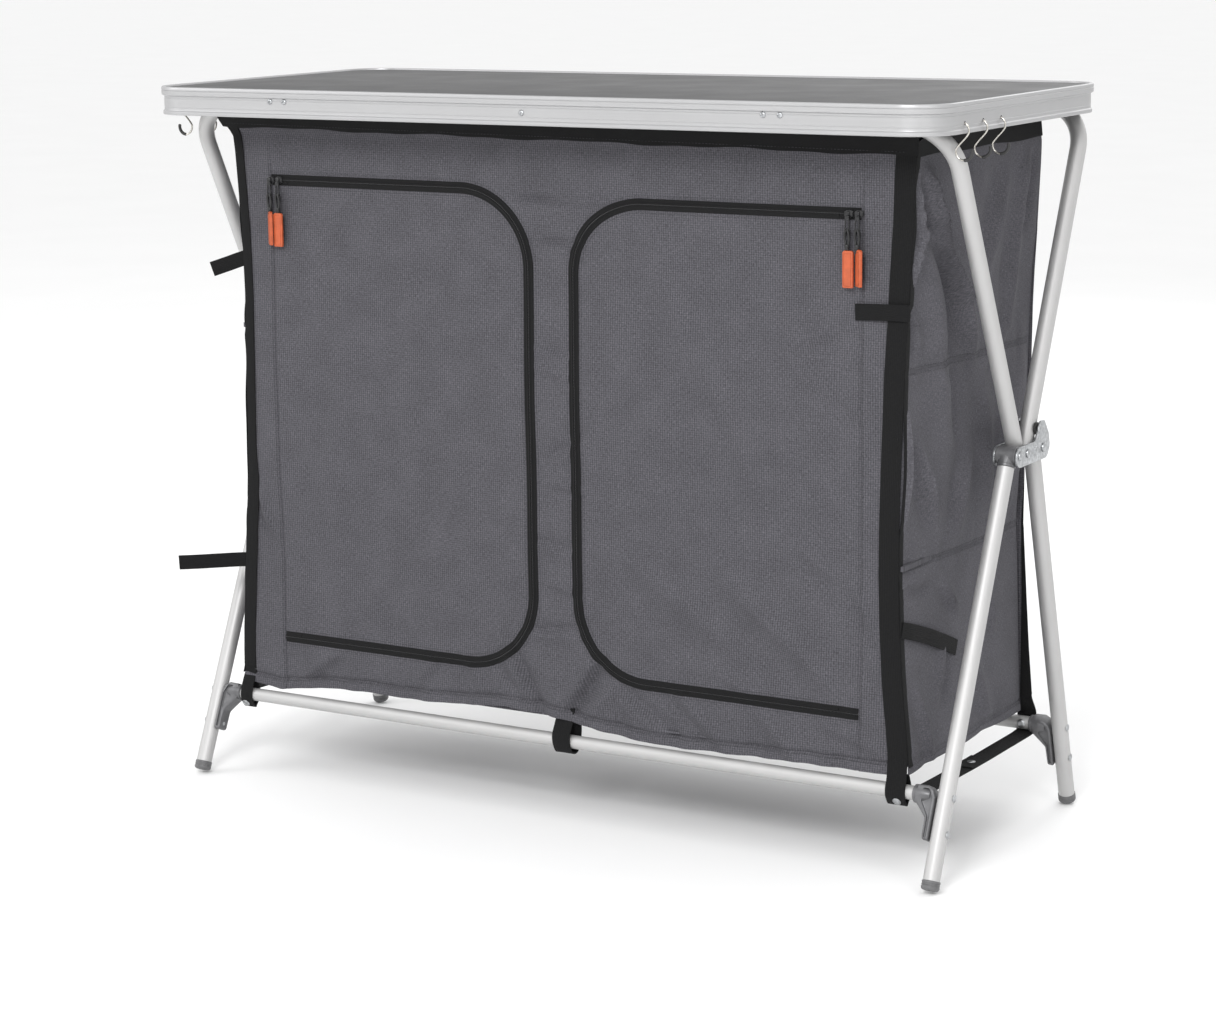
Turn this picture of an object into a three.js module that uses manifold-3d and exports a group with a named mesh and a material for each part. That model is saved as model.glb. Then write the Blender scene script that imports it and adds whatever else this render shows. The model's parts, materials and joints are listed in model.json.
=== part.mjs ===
// Folding camping kitchen cupboard: an aluminium-rimmed worktop on a folding tube stand,
// with a cloth cupboard of three compartments hanging between the legs.
// Millimetres, +Z up, -Y is the front with the doors, origin on the floor under the middle of the worktop.

import * as THREE from 'three';
import { mergeVertices } from 'three/addons/utils/BufferGeometryUtils.js';
import Module from 'manifold-3d';

const wasm = await Module();
wasm.setup();

// Clearances and tool sizes
const seat_gap = 0.3;
const cut_overrun = 5;
const cut_reach = 400;

// Worktop: board and rim
const top_length = 1030;
const top_depth = 460;
const top_height = 850;
const top_corner_radius = 50;
const rim_height = 33;
const rim_wall = 2;
const rim_lip_proud = 3;
const rim_lip_height = 10;
const rim_lip_chamfer = 1;
const rim_bead_proud = 1.5;
const rim_bead_height = 5;
const rim_ledge_width = 12;
const rim_ledge_thickness = 1.8;
const board_thickness = 5;
const board_recess = 2;

// Tube stand: where its tubes run
const tube_inset = 18.5;
const front_crossbar_inset = 72;
const rear_crossbar_inset = 16;
const crossbar_drop = 17;
const pivot_height = 451;
const first_pivot_y = 3;
const pivot_spare = 3;
const front_foot_inset = 34;
const rear_foot_inset = 34;
const front_bar_height = 98;
const rear_bar_height = 100;

// Tube stand: sections
const tube_radius = 9.5;
const tube_wall = 1.2;
const tube_end_reach = 5;
const frame_bend_radius = 55;
const bar_radius = 8;
const bar_wall = 1.2;

// Hinge plates, pins and rivets
const plate_thickness = 2.5;
const plate_side_room = 2.7;
const plate_nose_radius = 11.5;
const plate_tail_reach = 16;
const plate_tail_drop = 7;
const plate_tail_rise = 2;
const plate_ear_rise = 31;
const plate_ear_width = 10;
const plate_notch_rise = 10;
const pin_radius = 3;
const pin_head_radius = 5.5;
const pin_head_height = 2;
const washer_radius = 8;
const upper_rivet_step = 25;

// Leg end sleeves
const sleeve_proud = 0.7;
const sleeve_collar_length = 14;
const sleeve_spigot_length = 20;

// Corner brackets between the legs and the bars
const bracket_socket_wall = 1.7;
const bracket_span = 30;
const bracket_socket_length = 10;
const bracket_bar_depth = 14;
const bracket_web_width = 15;
const bracket_plate_thickness = 5;
const bracket_plate_reach = 50;
const bracket_gusset_drop = 27;
const bracket_elbow_drop = 6;

// Foot caps
const cap_wall = 1.5;
const cap_height = 14;
const cap_floor = 7.5;

// Catches that hold the worktop to the crossbars
const catch_spacing = 644;
const catch_width = 34;
const catch_metal = 3;
const catch_lip_drop = 7;
const catch_pad_overhang = 4;
const clip_width = 40;
const clip_wall = 3;
const clip_jaw_drop = 5;
const clip_foot = 16;

// S-hooks in the rim
const hook_wire_radius = 1.1;
const hook_hole_radius = 2.1;
const hook_hole_rise = 11;
const hook_first_inset = 72;
const hook_pitch = 47;
const hooks_per_side = 3;
const hook_inner_reach = 7;
const hook_play = 2.2;
const hook_bend_radius = 9.5;
const hook_drop = 38;
const hook_bend_start = THREE.MathUtils.degToRad(166.5);
const hook_bend_end = THREE.MathUtils.degToRad(369);
// Its way round the bead, as shares of its bulge outwards and of the hole's rise downwards
const hook_neck_shares = [[0, 0], [0.6, 0.12], [1, 0.5], [1, 1.05], [0.3, 1.5]];

// Cloth cupboard
const cloth_side_room = 30.3;
const cloth_front_setback = 6;
const cloth_depth = 317;
const cloth_thickness = 2.4;
const floor_height = 124;
const floor_thickness = 3;
const shelf_heights = [342, 557];
const shelf_thickness = 6;
const hem_height = 117;
const hem_wave = 4;
const band_start_drop = 38;
const band_flare_side = 7;
const band_top_room = 0.9;
const side_corner_setback = 9;
const fold_depth = 5;
const side_folds = 3;
const side_fold_fade = 3;
const side_fold_rest_share = 0.3;
const back_folds = 3;
const shelf_sag = 3;

// Corner webbing and the loops round the bars
const webbing_width = 25;
const webbing_thickness = 1.7;
const webbing_loop_gap = 0.45;

// Doors and zips
const door_middle_half = 30;
const door_side_margin = 88;
const door_bottom = 178;
const door_top_drop = 112;
const door_corner_radius = 90;
const door_slit = 0.5;
const slider_length = 10;
const slider_height = 9;
const slider_depth = 5;
const slider_pitch = 12;
const slider_door_room = 5.25;
const puller_length = 36;
const puller_width = 4;
const puller_thickness = 1.6;
const puller_play = 0.7;
const tag_length = 40;
const tag_width = 10.5;
const tag_thickness = 3;

// Tie straps between the front and rear bars
const strap_width = 24;
const strap_thickness = 1.6;
const strap_tab_length = 11;
const strap_front_margin = 3;
const strap_inward_shift = 14;
const strap_wrap_angle = THREE.MathUtils.degToRad(50);

// Mesh finenesses
const tube_sides = 14;
const small_round_sides = 10;
const wire_sides = 6;
const bend_steps = 7;
const corner_steps = 6;
const hook_steps = 16;
const front_columns = 14;
const side_columns = 14;
const back_columns = 12;
const back_rows = 5;
const cloth_rows = 6;
const front_band_rows = 4;
const side_band_rows = 3;
const shelf_columns = 4;
const shelf_rows = 8;

// Colours, roughness and metalness
const finishes = {
  laminate: { color: 0x7f8082, roughness: 0.45, metalness: 0.0 },
  rim: { color: 0xd5d5d8, roughness: 0.35, metalness: 0.9 },
  tube: { color: 0xd8d8d8, roughness: 0.4, metalness: 0.9 },
  zinc: { color: 0xa9abad, roughness: 0.35, metalness: 0.9 },
  casting: { color: 0x6d6d70, roughness: 0.5, metalness: 0.3 },
  cap: { color: 0x6b6b6b, roughness: 0.7, metalness: 0.0 },
  wire: { color: 0xc9c4b8, roughness: 0.25, metalness: 1.0 },
  cloth: { color: 0x5a5a60, roughness: 0.95, metalness: 0.0 },
  webbing: { color: 0x2e2e2f, roughness: 0.9, metalness: 0.0 },
  tag: { color: 0xe0683c, roughness: 0.6, metalness: 0.0 },
};

// Places worked out from the sizes
const board_top = top_height - board_recess;
const board_bottom = board_top - board_thickness;
const rim_bottom = top_height - rim_height;
const web_inner_outset = -(rim_lip_proud + rim_wall);
const web_middle_outset = -(rim_lip_proud + rim_wall / 2);
const half_length = top_length / 2;
const half_depth = top_depth / 2;
const tube_plane_x = half_length - tube_inset;
const leg_inner_x = tube_plane_x - tube_radius;
const crossbar_height = board_bottom - crossbar_drop;
const front_crossbar_y = -half_depth + front_crossbar_inset;
const rear_crossbar_y = half_depth - rear_crossbar_inset;
const pivot_pitch = 2 * tube_radius + pivot_spare;
const front_foot_y = -half_depth + front_foot_inset;
const rear_foot_y = half_depth - rear_foot_inset;
const front_leg_pivot_y = first_pivot_y;
const front_frame_pivot_y = front_leg_pivot_y + pivot_pitch;
const rear_frame_pivot_y = front_frame_pivot_y + pivot_pitch;
const rear_leg_pivot_y = rear_frame_pivot_y + pivot_pitch;
const upper_rise = crossbar_height - pivot_height;
const front_frame_lean = Math.atan2(front_frame_pivot_y - front_crossbar_y, upper_rise);
const rear_frame_lean = Math.atan2(rear_frame_pivot_y - rear_crossbar_y, upper_rise);
const front_frame_reach = Math.hypot(front_frame_pivot_y - front_crossbar_y, upper_rise);
const rear_frame_reach = Math.hypot(rear_frame_pivot_y - rear_crossbar_y, upper_rise);
const plate_face = tube_radius + plate_side_room;
const pin_hole_radius = pin_radius + seat_gap;
const cloth_outer_x = leg_inner_x - cloth_side_room;
const cloth_inner_x = cloth_outer_x - cloth_thickness;
const panel_half_length = cloth_inner_x - seat_gap;
const cloth_front_y = front_crossbar_y + cloth_front_setback;
const cloth_back_y = cloth_front_y + cloth_depth;
const band_start = rim_bottom + rim_bead_height - band_start_drop;
const door_top = top_height - door_top_drop;

// Geometry helpers

function bare(geometry) {
  geometry.deleteAttribute('normal');
  geometry.deleteAttribute('uv');
  return mergeVertices(geometry);
}

function solidOf(geometry) {
  const merged = bare(geometry);
  return new wasm.Manifold(new wasm.Mesh({
    numProp: 3,
    vertProperties: new Float32Array(merged.attributes.position.array),
    triVerts: new Uint32Array(merged.index.array),
  }));
}

function geometryOf(solid) {
  const mesh = solid.getMesh();
  const geometry = new THREE.BufferGeometry();
  geometry.setAttribute('position', new THREE.BufferAttribute(new Float32Array(mesh.vertProperties), 3));
  geometry.setIndex(new THREE.BufferAttribute(new Uint32Array(mesh.triVerts), 1));
  return geometry;
}

function join(first, ...others) {
  return others.reduce((solid, geometry) => solid.add(solidOf(geometry)), solidOf(first));
}

function cut(solid, ...tools) {
  return tools.reduce((rest, geometry) => rest.subtract(solidOf(geometry)), solid);
}

function mirrored(geometry) {
  const flipped = bare(geometry.clone());
  flipped.scale(-1, 1, 1);
  const corners = flipped.index.array;
  for (let i = 0; i < corners.length; i += 3) {
    [corners[i], corners[i + 1]] = [corners[i + 1], corners[i]];
  }
  return flipped;
}

function sided(geometry, side) {
  return side > 0 ? geometry : mirrored(geometry);
}

function namedMesh(name, geometry, finish) {
  const shaded = geometry.clone();
  shaded.computeVertexNormals();
  const mesh = new THREE.Mesh(shaded, new THREE.MeshStandardMaterial(finishes[finish]));
  mesh.name = name;
  return mesh;
}

// A round bar along X, from one x to another
function barAlongX(radius, from, to, sides) {
  const bar = new THREE.CylinderGeometry(radius, radius, to - from, sides);
  bar.rotateZ(Math.PI / 2);
  bar.translate((from + to) / 2, 0, 0);
  return bar;
}

// A round bar along Z, from one height to another
function barAlongZ(radius, from, to, sides) {
  const bar = new THREE.CylinderGeometry(radius, radius, to - from, sides);
  bar.rotateX(Math.PI / 2);
  bar.translate(0, 0, (from + to) / 2);
  return bar;
}

function block(min, max) {
  const size = max.clone().sub(min);
  const box = new THREE.BoxGeometry(size.x, size.y, size.z);
  box.translate((min.x + max.x) / 2, (min.y + max.y) / 2, (min.z + max.z) / 2);
  return box;
}

// An outline drawn in Y and Z, pulled along X
function pulledAlongX(shape, from, to, curveSegments = small_round_sides / 2) {
  const body = new THREE.ExtrudeGeometry(shape, { depth: to - from, bevelEnabled: false, curveSegments });
  body.rotateX(Math.PI / 2);
  body.rotateZ(Math.PI / 2);
  body.translate(from, 0, 0);
  return body;
}

// An outline drawn in X and Z, pulled along Y
function pulledAlongY(shape, from, to, curveSegments = corner_steps) {
  const body = new THREE.ExtrudeGeometry(shape, { depth: to - from, bevelEnabled: false, curveSegments });
  body.rotateX(Math.PI / 2);
  body.translate(0, to, 0);
  return body;
}

function polygon(points) {
  return new THREE.Shape(points.map(([x, y]) => new THREE.Vector2(x, y)));
}

function roundHole(x, y, radius) {
  return new THREE.Path().absarc(x, y, radius, 0, 2 * Math.PI, true);
}

// The route of a bent tube: one station at each end of a straight run and several round each bend
class TubeRoute extends THREE.Curve {
  constructor(points, tangents) {
    super();
    this.points = points;
    this.tangents = tangents;
  }

  getPoint(share, target = new THREE.Vector3()) {
    return target.copy(this.points[Math.round(share * (this.points.length - 1))]);
  }

  getPointAt(share, target) {
    return this.getPoint(share, target);
  }

  getTangentAt(share, target = new THREE.Vector3()) {
    return target.copy(this.tangents[Math.round(share * (this.points.length - 1))]);
  }
}

function tubeSection(radius, wall, sides) {
  const section = new THREE.Shape().absarc(0, 0, radius, 0, 2 * Math.PI, false);
  section.holes.push(roundHole(0, 0, radius - wall));
  return { section, curveSegments: sides / 2 };
}

function tubeAlong(points, tangents, radius, wall) {
  const { section, curveSegments } = tubeSection(radius, wall, tube_sides);
  return new THREE.ExtrudeGeometry(section, {
    steps: points.length - 1,
    extrudePath: new TubeRoute(points, tangents),
    curveSegments,
  });
}

function straightTube(from, to, radius, wall) {
  const along = to.clone().sub(from).normalize();
  return tubeAlong([from, to], [along, along], radius, wall);
}

// A closed sheet of cloth: point(across, up, side) gives its outer face for side 0 and its inner for side 1
function sheet(columns, rows, point) {
  const positions = [];
  const corners = [];
  const face = (columns + 1) * (rows + 1);
  for (const side of [0, 1]) {
    for (let row = 0; row <= rows; row += 1) {
      for (let column = 0; column <= columns; column += 1) {
        positions.push(...point(column / columns, row / rows, side));
      }
    }
  }
  const at = (column, row, side) => side * face + row * (columns + 1) + column;
  const quad = (a, b, c, d) => corners.push(a, b, c, a, c, d);
  for (let row = 0; row < rows; row += 1) {
    for (let column = 0; column < columns; column += 1) {
      quad(at(column, row, 0), at(column + 1, row, 0), at(column + 1, row + 1, 0), at(column, row + 1, 0));
      quad(at(column, row, 1), at(column, row + 1, 1), at(column + 1, row + 1, 1), at(column + 1, row, 1));
    }
  }
  for (let column = 0; column < columns; column += 1) {
    quad(at(column, 0, 0), at(column, 0, 1), at(column + 1, 0, 1), at(column + 1, 0, 0));
    quad(at(column, rows, 0), at(column + 1, rows, 0), at(column + 1, rows, 1), at(column, rows, 1));
  }
  for (let row = 0; row < rows; row += 1) {
    quad(at(0, row, 0), at(0, row + 1, 0), at(0, row + 1, 1), at(0, row, 1));
    quad(at(columns, row, 0), at(columns, row, 1), at(columns, row + 1, 1), at(columns, row + 1, 0));
  }
  const geometry = new THREE.BufferGeometry();
  geometry.setAttribute('position', new THREE.BufferAttribute(new Float32Array(positions), 3));
  geometry.setIndex(corners);
  return geometry;
}

// A profile of [outset, height] points, counter-clockwise, carried round the worktop's edge
function ringRoundTop(profile) {
  const stations = [];
  for (let corner = 0; corner < 4; corner += 1) {
    const quarter = Math.PI / 2;
    const middle = (corner + 0.5) * quarter;
    const centre_x = Math.sign(Math.cos(middle)) * (half_length - top_corner_radius);
    const centre_y = Math.sign(Math.sin(middle)) * (half_depth - top_corner_radius);
    for (let step = 0; step <= corner_steps; step += 1) {
      const angle = (corner + step / corner_steps) * quarter;
      stations.push({ centre_x, centre_y, cos: Math.cos(angle), sin: Math.sin(angle) });
    }
  }
  const positions = [];
  const corners = [];
  for (const { centre_x, centre_y, cos, sin } of stations) {
    for (const [outset, height] of profile) {
      const reach = top_corner_radius + outset;
      positions.push(centre_x + reach * cos, centre_y + reach * sin, height);
    }
  }
  const count = profile.length;
  for (let i = 0; i < stations.length; i += 1) {
    const next = (i + 1) % stations.length;
    for (let j = 0; j < count; j += 1) {
      const above = (j + 1) % count;
      corners.push(i * count + j, next * count + j, next * count + above);
      corners.push(i * count + j, next * count + above, i * count + above);
    }
  }
  const geometry = new THREE.BufferGeometry();
  geometry.setAttribute('position', new THREE.BufferAttribute(new Float32Array(positions), 3));
  geometry.setIndex(corners);
  return geometry;
}

// Worktop

function hookHeight() {
  return rim_bottom + hook_hole_rise;
}

function hookPivotX() {
  return half_length + web_middle_outset;
}

function hookPivotY(index) {
  return -half_depth + hook_first_inset + index * hook_pitch;
}

function worktopRim() {
  const ledge_top = board_bottom - seat_gap;
  const ledge_outset = web_inner_outset - rim_ledge_width;
  const bead_outset = rim_bead_proud - rim_lip_proud;
  const lip_bottom = top_height - rim_lip_height;
  const ring = ringRoundTop([
    [web_inner_outset, rim_bottom],
    [bead_outset, rim_bottom],
    [bead_outset, rim_bottom + rim_bead_height],
    [-rim_lip_proud, rim_bottom + rim_bead_height + rim_bead_proud],
    [-rim_lip_proud, lip_bottom - rim_lip_chamfer],
    [0, lip_bottom],
    [0, top_height - rim_lip_chamfer],
    [-rim_lip_chamfer, top_height],
    [web_inner_outset, top_height],
    [web_inner_outset, ledge_top],
    [ledge_outset, ledge_top],
    [ledge_outset, ledge_top - rim_ledge_thickness],
    [web_inner_outset, ledge_top - rim_ledge_thickness],
  ]);
  const holes = [];
  for (const side of [-1, 1]) {
    for (let index = 0; index < hooks_per_side; index += 1) {
      const middle = side * hookPivotX();
      const hole = barAlongX(hook_hole_radius, middle - rim_wall, middle + rim_wall, small_round_sides);
      hole.translate(0, hookPivotY(index), hookHeight());
      holes.push(hole);
    }
  }
  return geometryOf(cut(solidOf(ring), ...holes));
}

function worktopBoard() {
  const inset = -web_inner_outset + seat_gap;
  const x = half_length - inset;
  const y = half_depth - inset;
  const radius = top_corner_radius - inset;
  const outline = new THREE.Shape();
  outline.absarc(x - radius, y - radius, radius, 0, Math.PI / 2);
  outline.absarc(-x + radius, y - radius, radius, Math.PI / 2, Math.PI);
  outline.absarc(-x + radius, -y + radius, radius, Math.PI, 1.5 * Math.PI);
  outline.absarc(x - radius, -y + radius, radius, 1.5 * Math.PI, 2 * Math.PI);
  const board = new THREE.ExtrudeGeometry(outline, {
    depth: board_thickness,
    bevelEnabled: false,
    curveSegments: corner_steps / 2,
  });
  board.translate(0, 0, board_bottom);
  return board;
}

// A screwed plate behind the front rim with an arm over the front crossbar, open to the rear
function frontCatch(side) {
  const arm_bottom = crossbar_height + tube_radius + seat_gap;
  const arm_top = arm_bottom + catch_metal;
  const plate_front = -half_depth - web_inner_outset + seat_gap;
  const lip_rear = front_crossbar_y - tube_radius - seat_gap;
  const profile = polygon([
    [plate_front, rim_bottom + seat_gap],
    [plate_front + catch_metal, rim_bottom + seat_gap],
    [plate_front + catch_metal, arm_bottom],
    [lip_rear - catch_metal, arm_bottom],
    [lip_rear - catch_metal, arm_bottom - catch_lip_drop],
    [lip_rear, arm_bottom - catch_lip_drop],
    [lip_rear, arm_bottom],
    [front_crossbar_y + catch_pad_overhang, arm_bottom],
    [front_crossbar_y + catch_pad_overhang, arm_top],
    [plate_front, arm_top],
  ]);
  const middle = side * catch_spacing / 2;
  return pulledAlongX(profile, middle - catch_width / 2, middle + catch_width / 2);
}

// A clip under the board: its jaw and pad sit against the rear crossbar, which the rim backs from behind
function rearClip() {
  const jaw = tube_radius + seat_gap;
  const top = board_bottom - seat_gap;
  const low = crossbar_height - clip_jaw_drop;
  const pad_bottom = crossbar_height + jaw;
  const profile = polygon([
    [-jaw - clip_wall, low],
    [-jaw, low],
    [-jaw, pad_bottom],
    [tube_radius - clip_wall, pad_bottom],
    [tube_radius - clip_wall, pad_bottom + clip_wall],
    [-jaw, pad_bottom + clip_wall],
    [-jaw, top],
    [-jaw - clip_foot, top],
    [-jaw - clip_foot, top - clip_wall],
    [-jaw - clip_wall, top - clip_wall],
  ]);
  const clip = pulledAlongX(profile, -clip_width / 2, clip_width / 2);
  clip.translate(0, rear_crossbar_y, 0);
  return clip;
}

// Bent wire: through the rim, out over its bead and round into the hanging bend
function hook() {
  const bead_face = rim_bead_proud + rim_wall / 2;
  const bulge = bead_face + hook_wire_radius + hook_play;
  const arc_x = hook_wire_radius;
  const arc_z = -hook_drop + hook_bend_radius;
  const points = [
    [-hook_inner_reach, hook_wire_radius],
    [-hook_inner_reach / 2, hook_wire_radius / 4],
  ];
  for (const [out, down] of hook_neck_shares) {
    points.push([out * bulge, -down * hook_hole_rise]);
  }
  for (let step = 0; step <= bend_steps; step += 1) {
    const angle = THREE.MathUtils.lerp(hook_bend_start, hook_bend_end, step / bend_steps);
    points.push([arc_x + hook_bend_radius * Math.cos(angle), arc_z + hook_bend_radius * Math.sin(angle)]);
  }
  const route = new THREE.CatmullRomCurve3(points.map(([x, z]) => new THREE.Vector3(x, 0, z)));
  const section = new THREE.Shape().absarc(0, 0, hook_wire_radius, 0, 2 * Math.PI, false);
  return new THREE.ExtrudeGeometry(section, {
    steps: hook_steps,
    extrudePath: route,
    curveSegments: wire_sides / 2,
  });
}

// Upper frames

// A U of one bent tube: up one side, across under the board and down the other side
function upperFrame(reach, cross_holes) {
  const points = [];
  const tangents = [];
  const bend_x = tube_plane_x - frame_bend_radius;
  const bend_z = reach - frame_bend_radius;
  points.push(new THREE.Vector3(-tube_plane_x, 0, -tube_end_reach));
  tangents.push(new THREE.Vector3(0, 0, 1));
  for (const side of [-1, 1]) {
    for (let step = 0; step <= bend_steps; step += 1) {
      const turned = (Math.PI / 2) * (step / bend_steps);
      const angle = side < 0 ? Math.PI - turned : Math.PI / 2 - turned;
      points.push(new THREE.Vector3(
        side * bend_x + frame_bend_radius * Math.cos(angle),
        0,
        bend_z + frame_bend_radius * Math.sin(angle),
      ));
      tangents.push(new THREE.Vector3(Math.sin(angle), 0, -Math.cos(angle)));
    }
  }
  points.push(new THREE.Vector3(tube_plane_x, 0, -tube_end_reach));
  tangents.push(new THREE.Vector3(0, 0, -1));
  const tube = tubeAlong(points, tangents, tube_radius, tube_wall);
  const drills = cross_holes.map((height) => {
    const drill = barAlongX(pin_hole_radius, -half_length, half_length, small_round_sides);
    drill.translate(0, 0, height);
    return drill;
  });
  return geometryOf(cut(solidOf(tube), ...drills));
}

// Hinge plates, their pins and rivets

function fixedRivetPlaces() {
  const along_y = Math.sin(-rear_frame_lean) * upper_rivet_step;
  const along_z = Math.cos(rear_frame_lean) * upper_rivet_step;
  return [
    [rear_frame_pivot_y, pivot_height],
    [rear_frame_pivot_y + along_y, pivot_height + along_z],
  ];
}

function plateOutline() {
  const low = pivot_height - plate_nose_radius;
  const [, [ear_y]] = fixedRivetPlaces();
  const tail_y = rear_leg_pivot_y + plate_tail_reach;
  const outline = new THREE.Shape();
  outline.absarc(front_leg_pivot_y, pivot_height, plate_nose_radius, 0.5 * Math.PI, 1.5 * Math.PI, false);
  outline.lineTo(tail_y - plate_tail_drop, low);
  outline.lineTo(tail_y - plate_tail_rise, pivot_height - plate_tail_drop);
  outline.lineTo(tail_y, pivot_height - plate_tail_rise);
  outline.lineTo(tail_y, pivot_height + plate_tail_rise);
  outline.lineTo(ear_y + plate_ear_width, pivot_height + plate_ear_rise - plate_tail_drop);
  outline.lineTo(ear_y + plate_ear_width / 2, pivot_height + plate_ear_rise);
  outline.lineTo(ear_y - plate_ear_width / 2, pivot_height + plate_ear_rise);
  outline.lineTo(ear_y - 2 * plate_ear_width, pivot_height + plate_notch_rise);
  outline.lineTo(front_leg_pivot_y + plate_nose_radius, pivot_height + plate_nose_radius);
  outline.closePath();
  return outline;
}

function hingePlate(outer) {
  const outline = plateOutline();
  const places = [front_leg_pivot_y, front_frame_pivot_y, rear_leg_pivot_y].map((y) => [y, pivot_height]);
  if (!outer) {
    places.push(...fixedRivetPlaces());
  }
  for (const [y, z] of places) {
    outline.holes.push(roundHole(y, z, pin_hole_radius));
  }
  const near = outer ? plate_face : -plate_face - plate_thickness;
  const plate = pulledAlongX(outline, near, near + plate_thickness);
  if (!outer) {
    return plate;
  }
  const rivets = fixedRivetPlaces().map(([y, z]) => {
    const rivet = pin(true);
    rivet.translate(0, y, z);
    return rivet;
  });
  return geometryOf(join(plate, ...rivets));
}

// A pin along X with a head past each plate, and washers beside a tube that is narrower than the plates' gap
function pin(with_washers) {
  const head_start = plate_face + plate_thickness + seat_gap;
  const head_end = head_start + pin_head_height;
  const washer_start = tube_radius + seat_gap;
  const washer_end = plate_face - seat_gap;
  const upper = [];
  if (with_washers) {
    upper.push([pin_radius, washer_start], [washer_radius, washer_start]);
    upper.push([washer_radius, washer_end], [pin_radius, washer_end]);
  }
  upper.push([pin_radius, head_start], [pin_head_radius, head_start]);
  upper.push([pin_head_radius - pin_head_height / 2, head_end], [0, head_end]);
  const lower = upper.map(([radius, along]) => [radius, -along]).reverse();
  const profile = [...lower, ...upper].map(([radius, along]) => new THREE.Vector2(radius, along));
  const turned = new THREE.LatheGeometry(profile, small_round_sides);
  turned.rotateZ(-Math.PI / 2);
  return turned;
}

// Legs: each is drawn hanging straight down from its pivot at the origin

function legTube(length) {
  const top = new THREE.Vector3(0, 0, -sleeve_collar_length - seat_gap);
  const end = new THREE.Vector3(0, 0, -length + cap_floor + seat_gap);
  return straightTube(top, end, tube_radius, tube_wall);
}

// A cast boss between the plates, a collar as wide as itself and a spigot inside the tube
function legSleeve() {
  const radius = tube_radius + sleeve_proud;
  const half_width = plate_face - seat_gap;
  const spigot_radius = tube_radius - tube_wall - seat_gap;
  const boss = barAlongX(radius, -half_width, half_width, tube_sides);
  const collar = barAlongZ(radius, -sleeve_collar_length, 0, tube_sides);
  const spigot_end = -sleeve_collar_length - sleeve_spigot_length;
  const spigot = barAlongZ(spigot_radius, spigot_end, -sleeve_collar_length / 2, tube_sides);
  const hole_reach = half_width + cut_overrun;
  const hole = barAlongX(pin_hole_radius, -hole_reach, hole_reach, small_round_sides);
  return geometryOf(cut(join(boss, collar, spigot), hole));
}

// A cup over the tube's end, cut level with the floor
function footCap(length, lean) {
  const bore_radius = tube_radius + seat_gap;
  const rim = -length + cap_height;
  const outer = barAlongZ(bore_radius + cap_wall, -length - cap_height, rim, tube_sides);
  const bore = barAlongZ(bore_radius, -length + cap_floor, rim + cut_overrun, tube_sides);
  const below = block(
    new THREE.Vector3(-2 * cap_height, -2 * cap_height, -3 * cap_height),
    new THREE.Vector3(2 * cap_height, 2 * cap_height, 0),
  );
  below.rotateX(-lean);
  below.translate(0, 0, -length);
  return geometryOf(cut(solidOf(outer), bore, below));
}

// Bracket places, seen from the bar's axis with +X towards the leg
function bracketInnerX() {
  return leg_inner_x - seat_gap - bracket_span;
}

function cornerBracket() {
  const socket_radius = bar_radius + seat_gap + bracket_socket_wall;
  const start = bracketInnerX();
  const face = leg_inner_x - seat_gap;
  const socket_end = start + bracket_socket_length;
  const profile = new THREE.Shape();
  profile.moveTo(socket_end, -socket_radius);
  profile.lineTo(face - bracket_plate_thickness, -bracket_gusset_drop);
  profile.lineTo(face - bracket_plate_thickness, -bracket_plate_reach);
  profile.lineTo(face, -bracket_plate_reach);
  profile.lineTo(face, -bracket_elbow_drop);
  profile.quadraticCurveTo(face, socket_radius, socket_end, socket_radius);
  profile.closePath();
  const web = pulledAlongY(profile, -bracket_web_width / 2, bracket_web_width / 2, corner_steps);
  const bore_end = start + bracket_bar_depth + seat_gap;
  const socket = barAlongX(socket_radius, start, bore_end + bracket_plate_thickness, tube_sides);
  const bore = barAlongX(bar_radius + seat_gap, start - cut_overrun, bore_end, tube_sides);
  return geometryOf(cut(join(web, socket), bore));
}

function crossBar() {
  const reach = bracketInnerX() + bracket_bar_depth;
  return straightTube(new THREE.Vector3(-reach, 0, 0), new THREE.Vector3(reach, 0, 0), bar_radius, bar_wall);
}

// One folding pair of legs with its bar, in a group that hangs from the pivot line
function legPair(which, pivot_y, foot_y, bar_height) {
  const lean = Math.atan2(foot_y - pivot_y, pivot_height);
  const length = Math.hypot(foot_y - pivot_y, pivot_height);
  const bar_drop = (pivot_height - bar_height) / Math.cos(lean);
  const pair = new THREE.Group();
  pair.position.set(0, pivot_y, pivot_height);
  pair.rotation.x = lean;
  for (const [side, hand] of [[-1, 'left'], [1, 'right']]) {
    const leg = new THREE.Group();
    leg.position.x = side * tube_plane_x;
    leg.add(namedMesh(`${which}_leg_${hand}`, legTube(length), 'tube'));
    leg.add(namedMesh(`${which}_leg_sleeve_${hand}`, legSleeve(), 'casting'));
    leg.add(namedMesh(`${which}_foot_cap_${hand}`, footCap(length, lean), 'cap'));
    pair.add(leg);
    const bracket = namedMesh(`${which}_corner_bracket_${hand}`, sided(cornerBracket(), side), 'casting');
    bracket.position.z = -bar_drop;
    pair.add(bracket);
  }
  const bar = namedMesh(`${which}_bar`, crossBar(), 'tube');
  bar.position.z = -bar_drop;
  pair.add(bar);
  return pair;
}

function barPlace(pivot_y, foot_y, bar_height) {
  const share = (pivot_height - bar_height) / pivot_height;
  return { y: pivot_y + (foot_y - pivot_y) * share, z: bar_height };
}

const front_bar_place = barPlace(front_leg_pivot_y, front_foot_y, front_bar_height);
const rear_bar_place = barPlace(rear_leg_pivot_y, rear_foot_y, rear_bar_height);

// Cloth cupboard

function smooth(share) {
  const t = THREE.MathUtils.clamp(share, 0, 1);
  return t * t * (3 - 2 * t);
}

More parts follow.
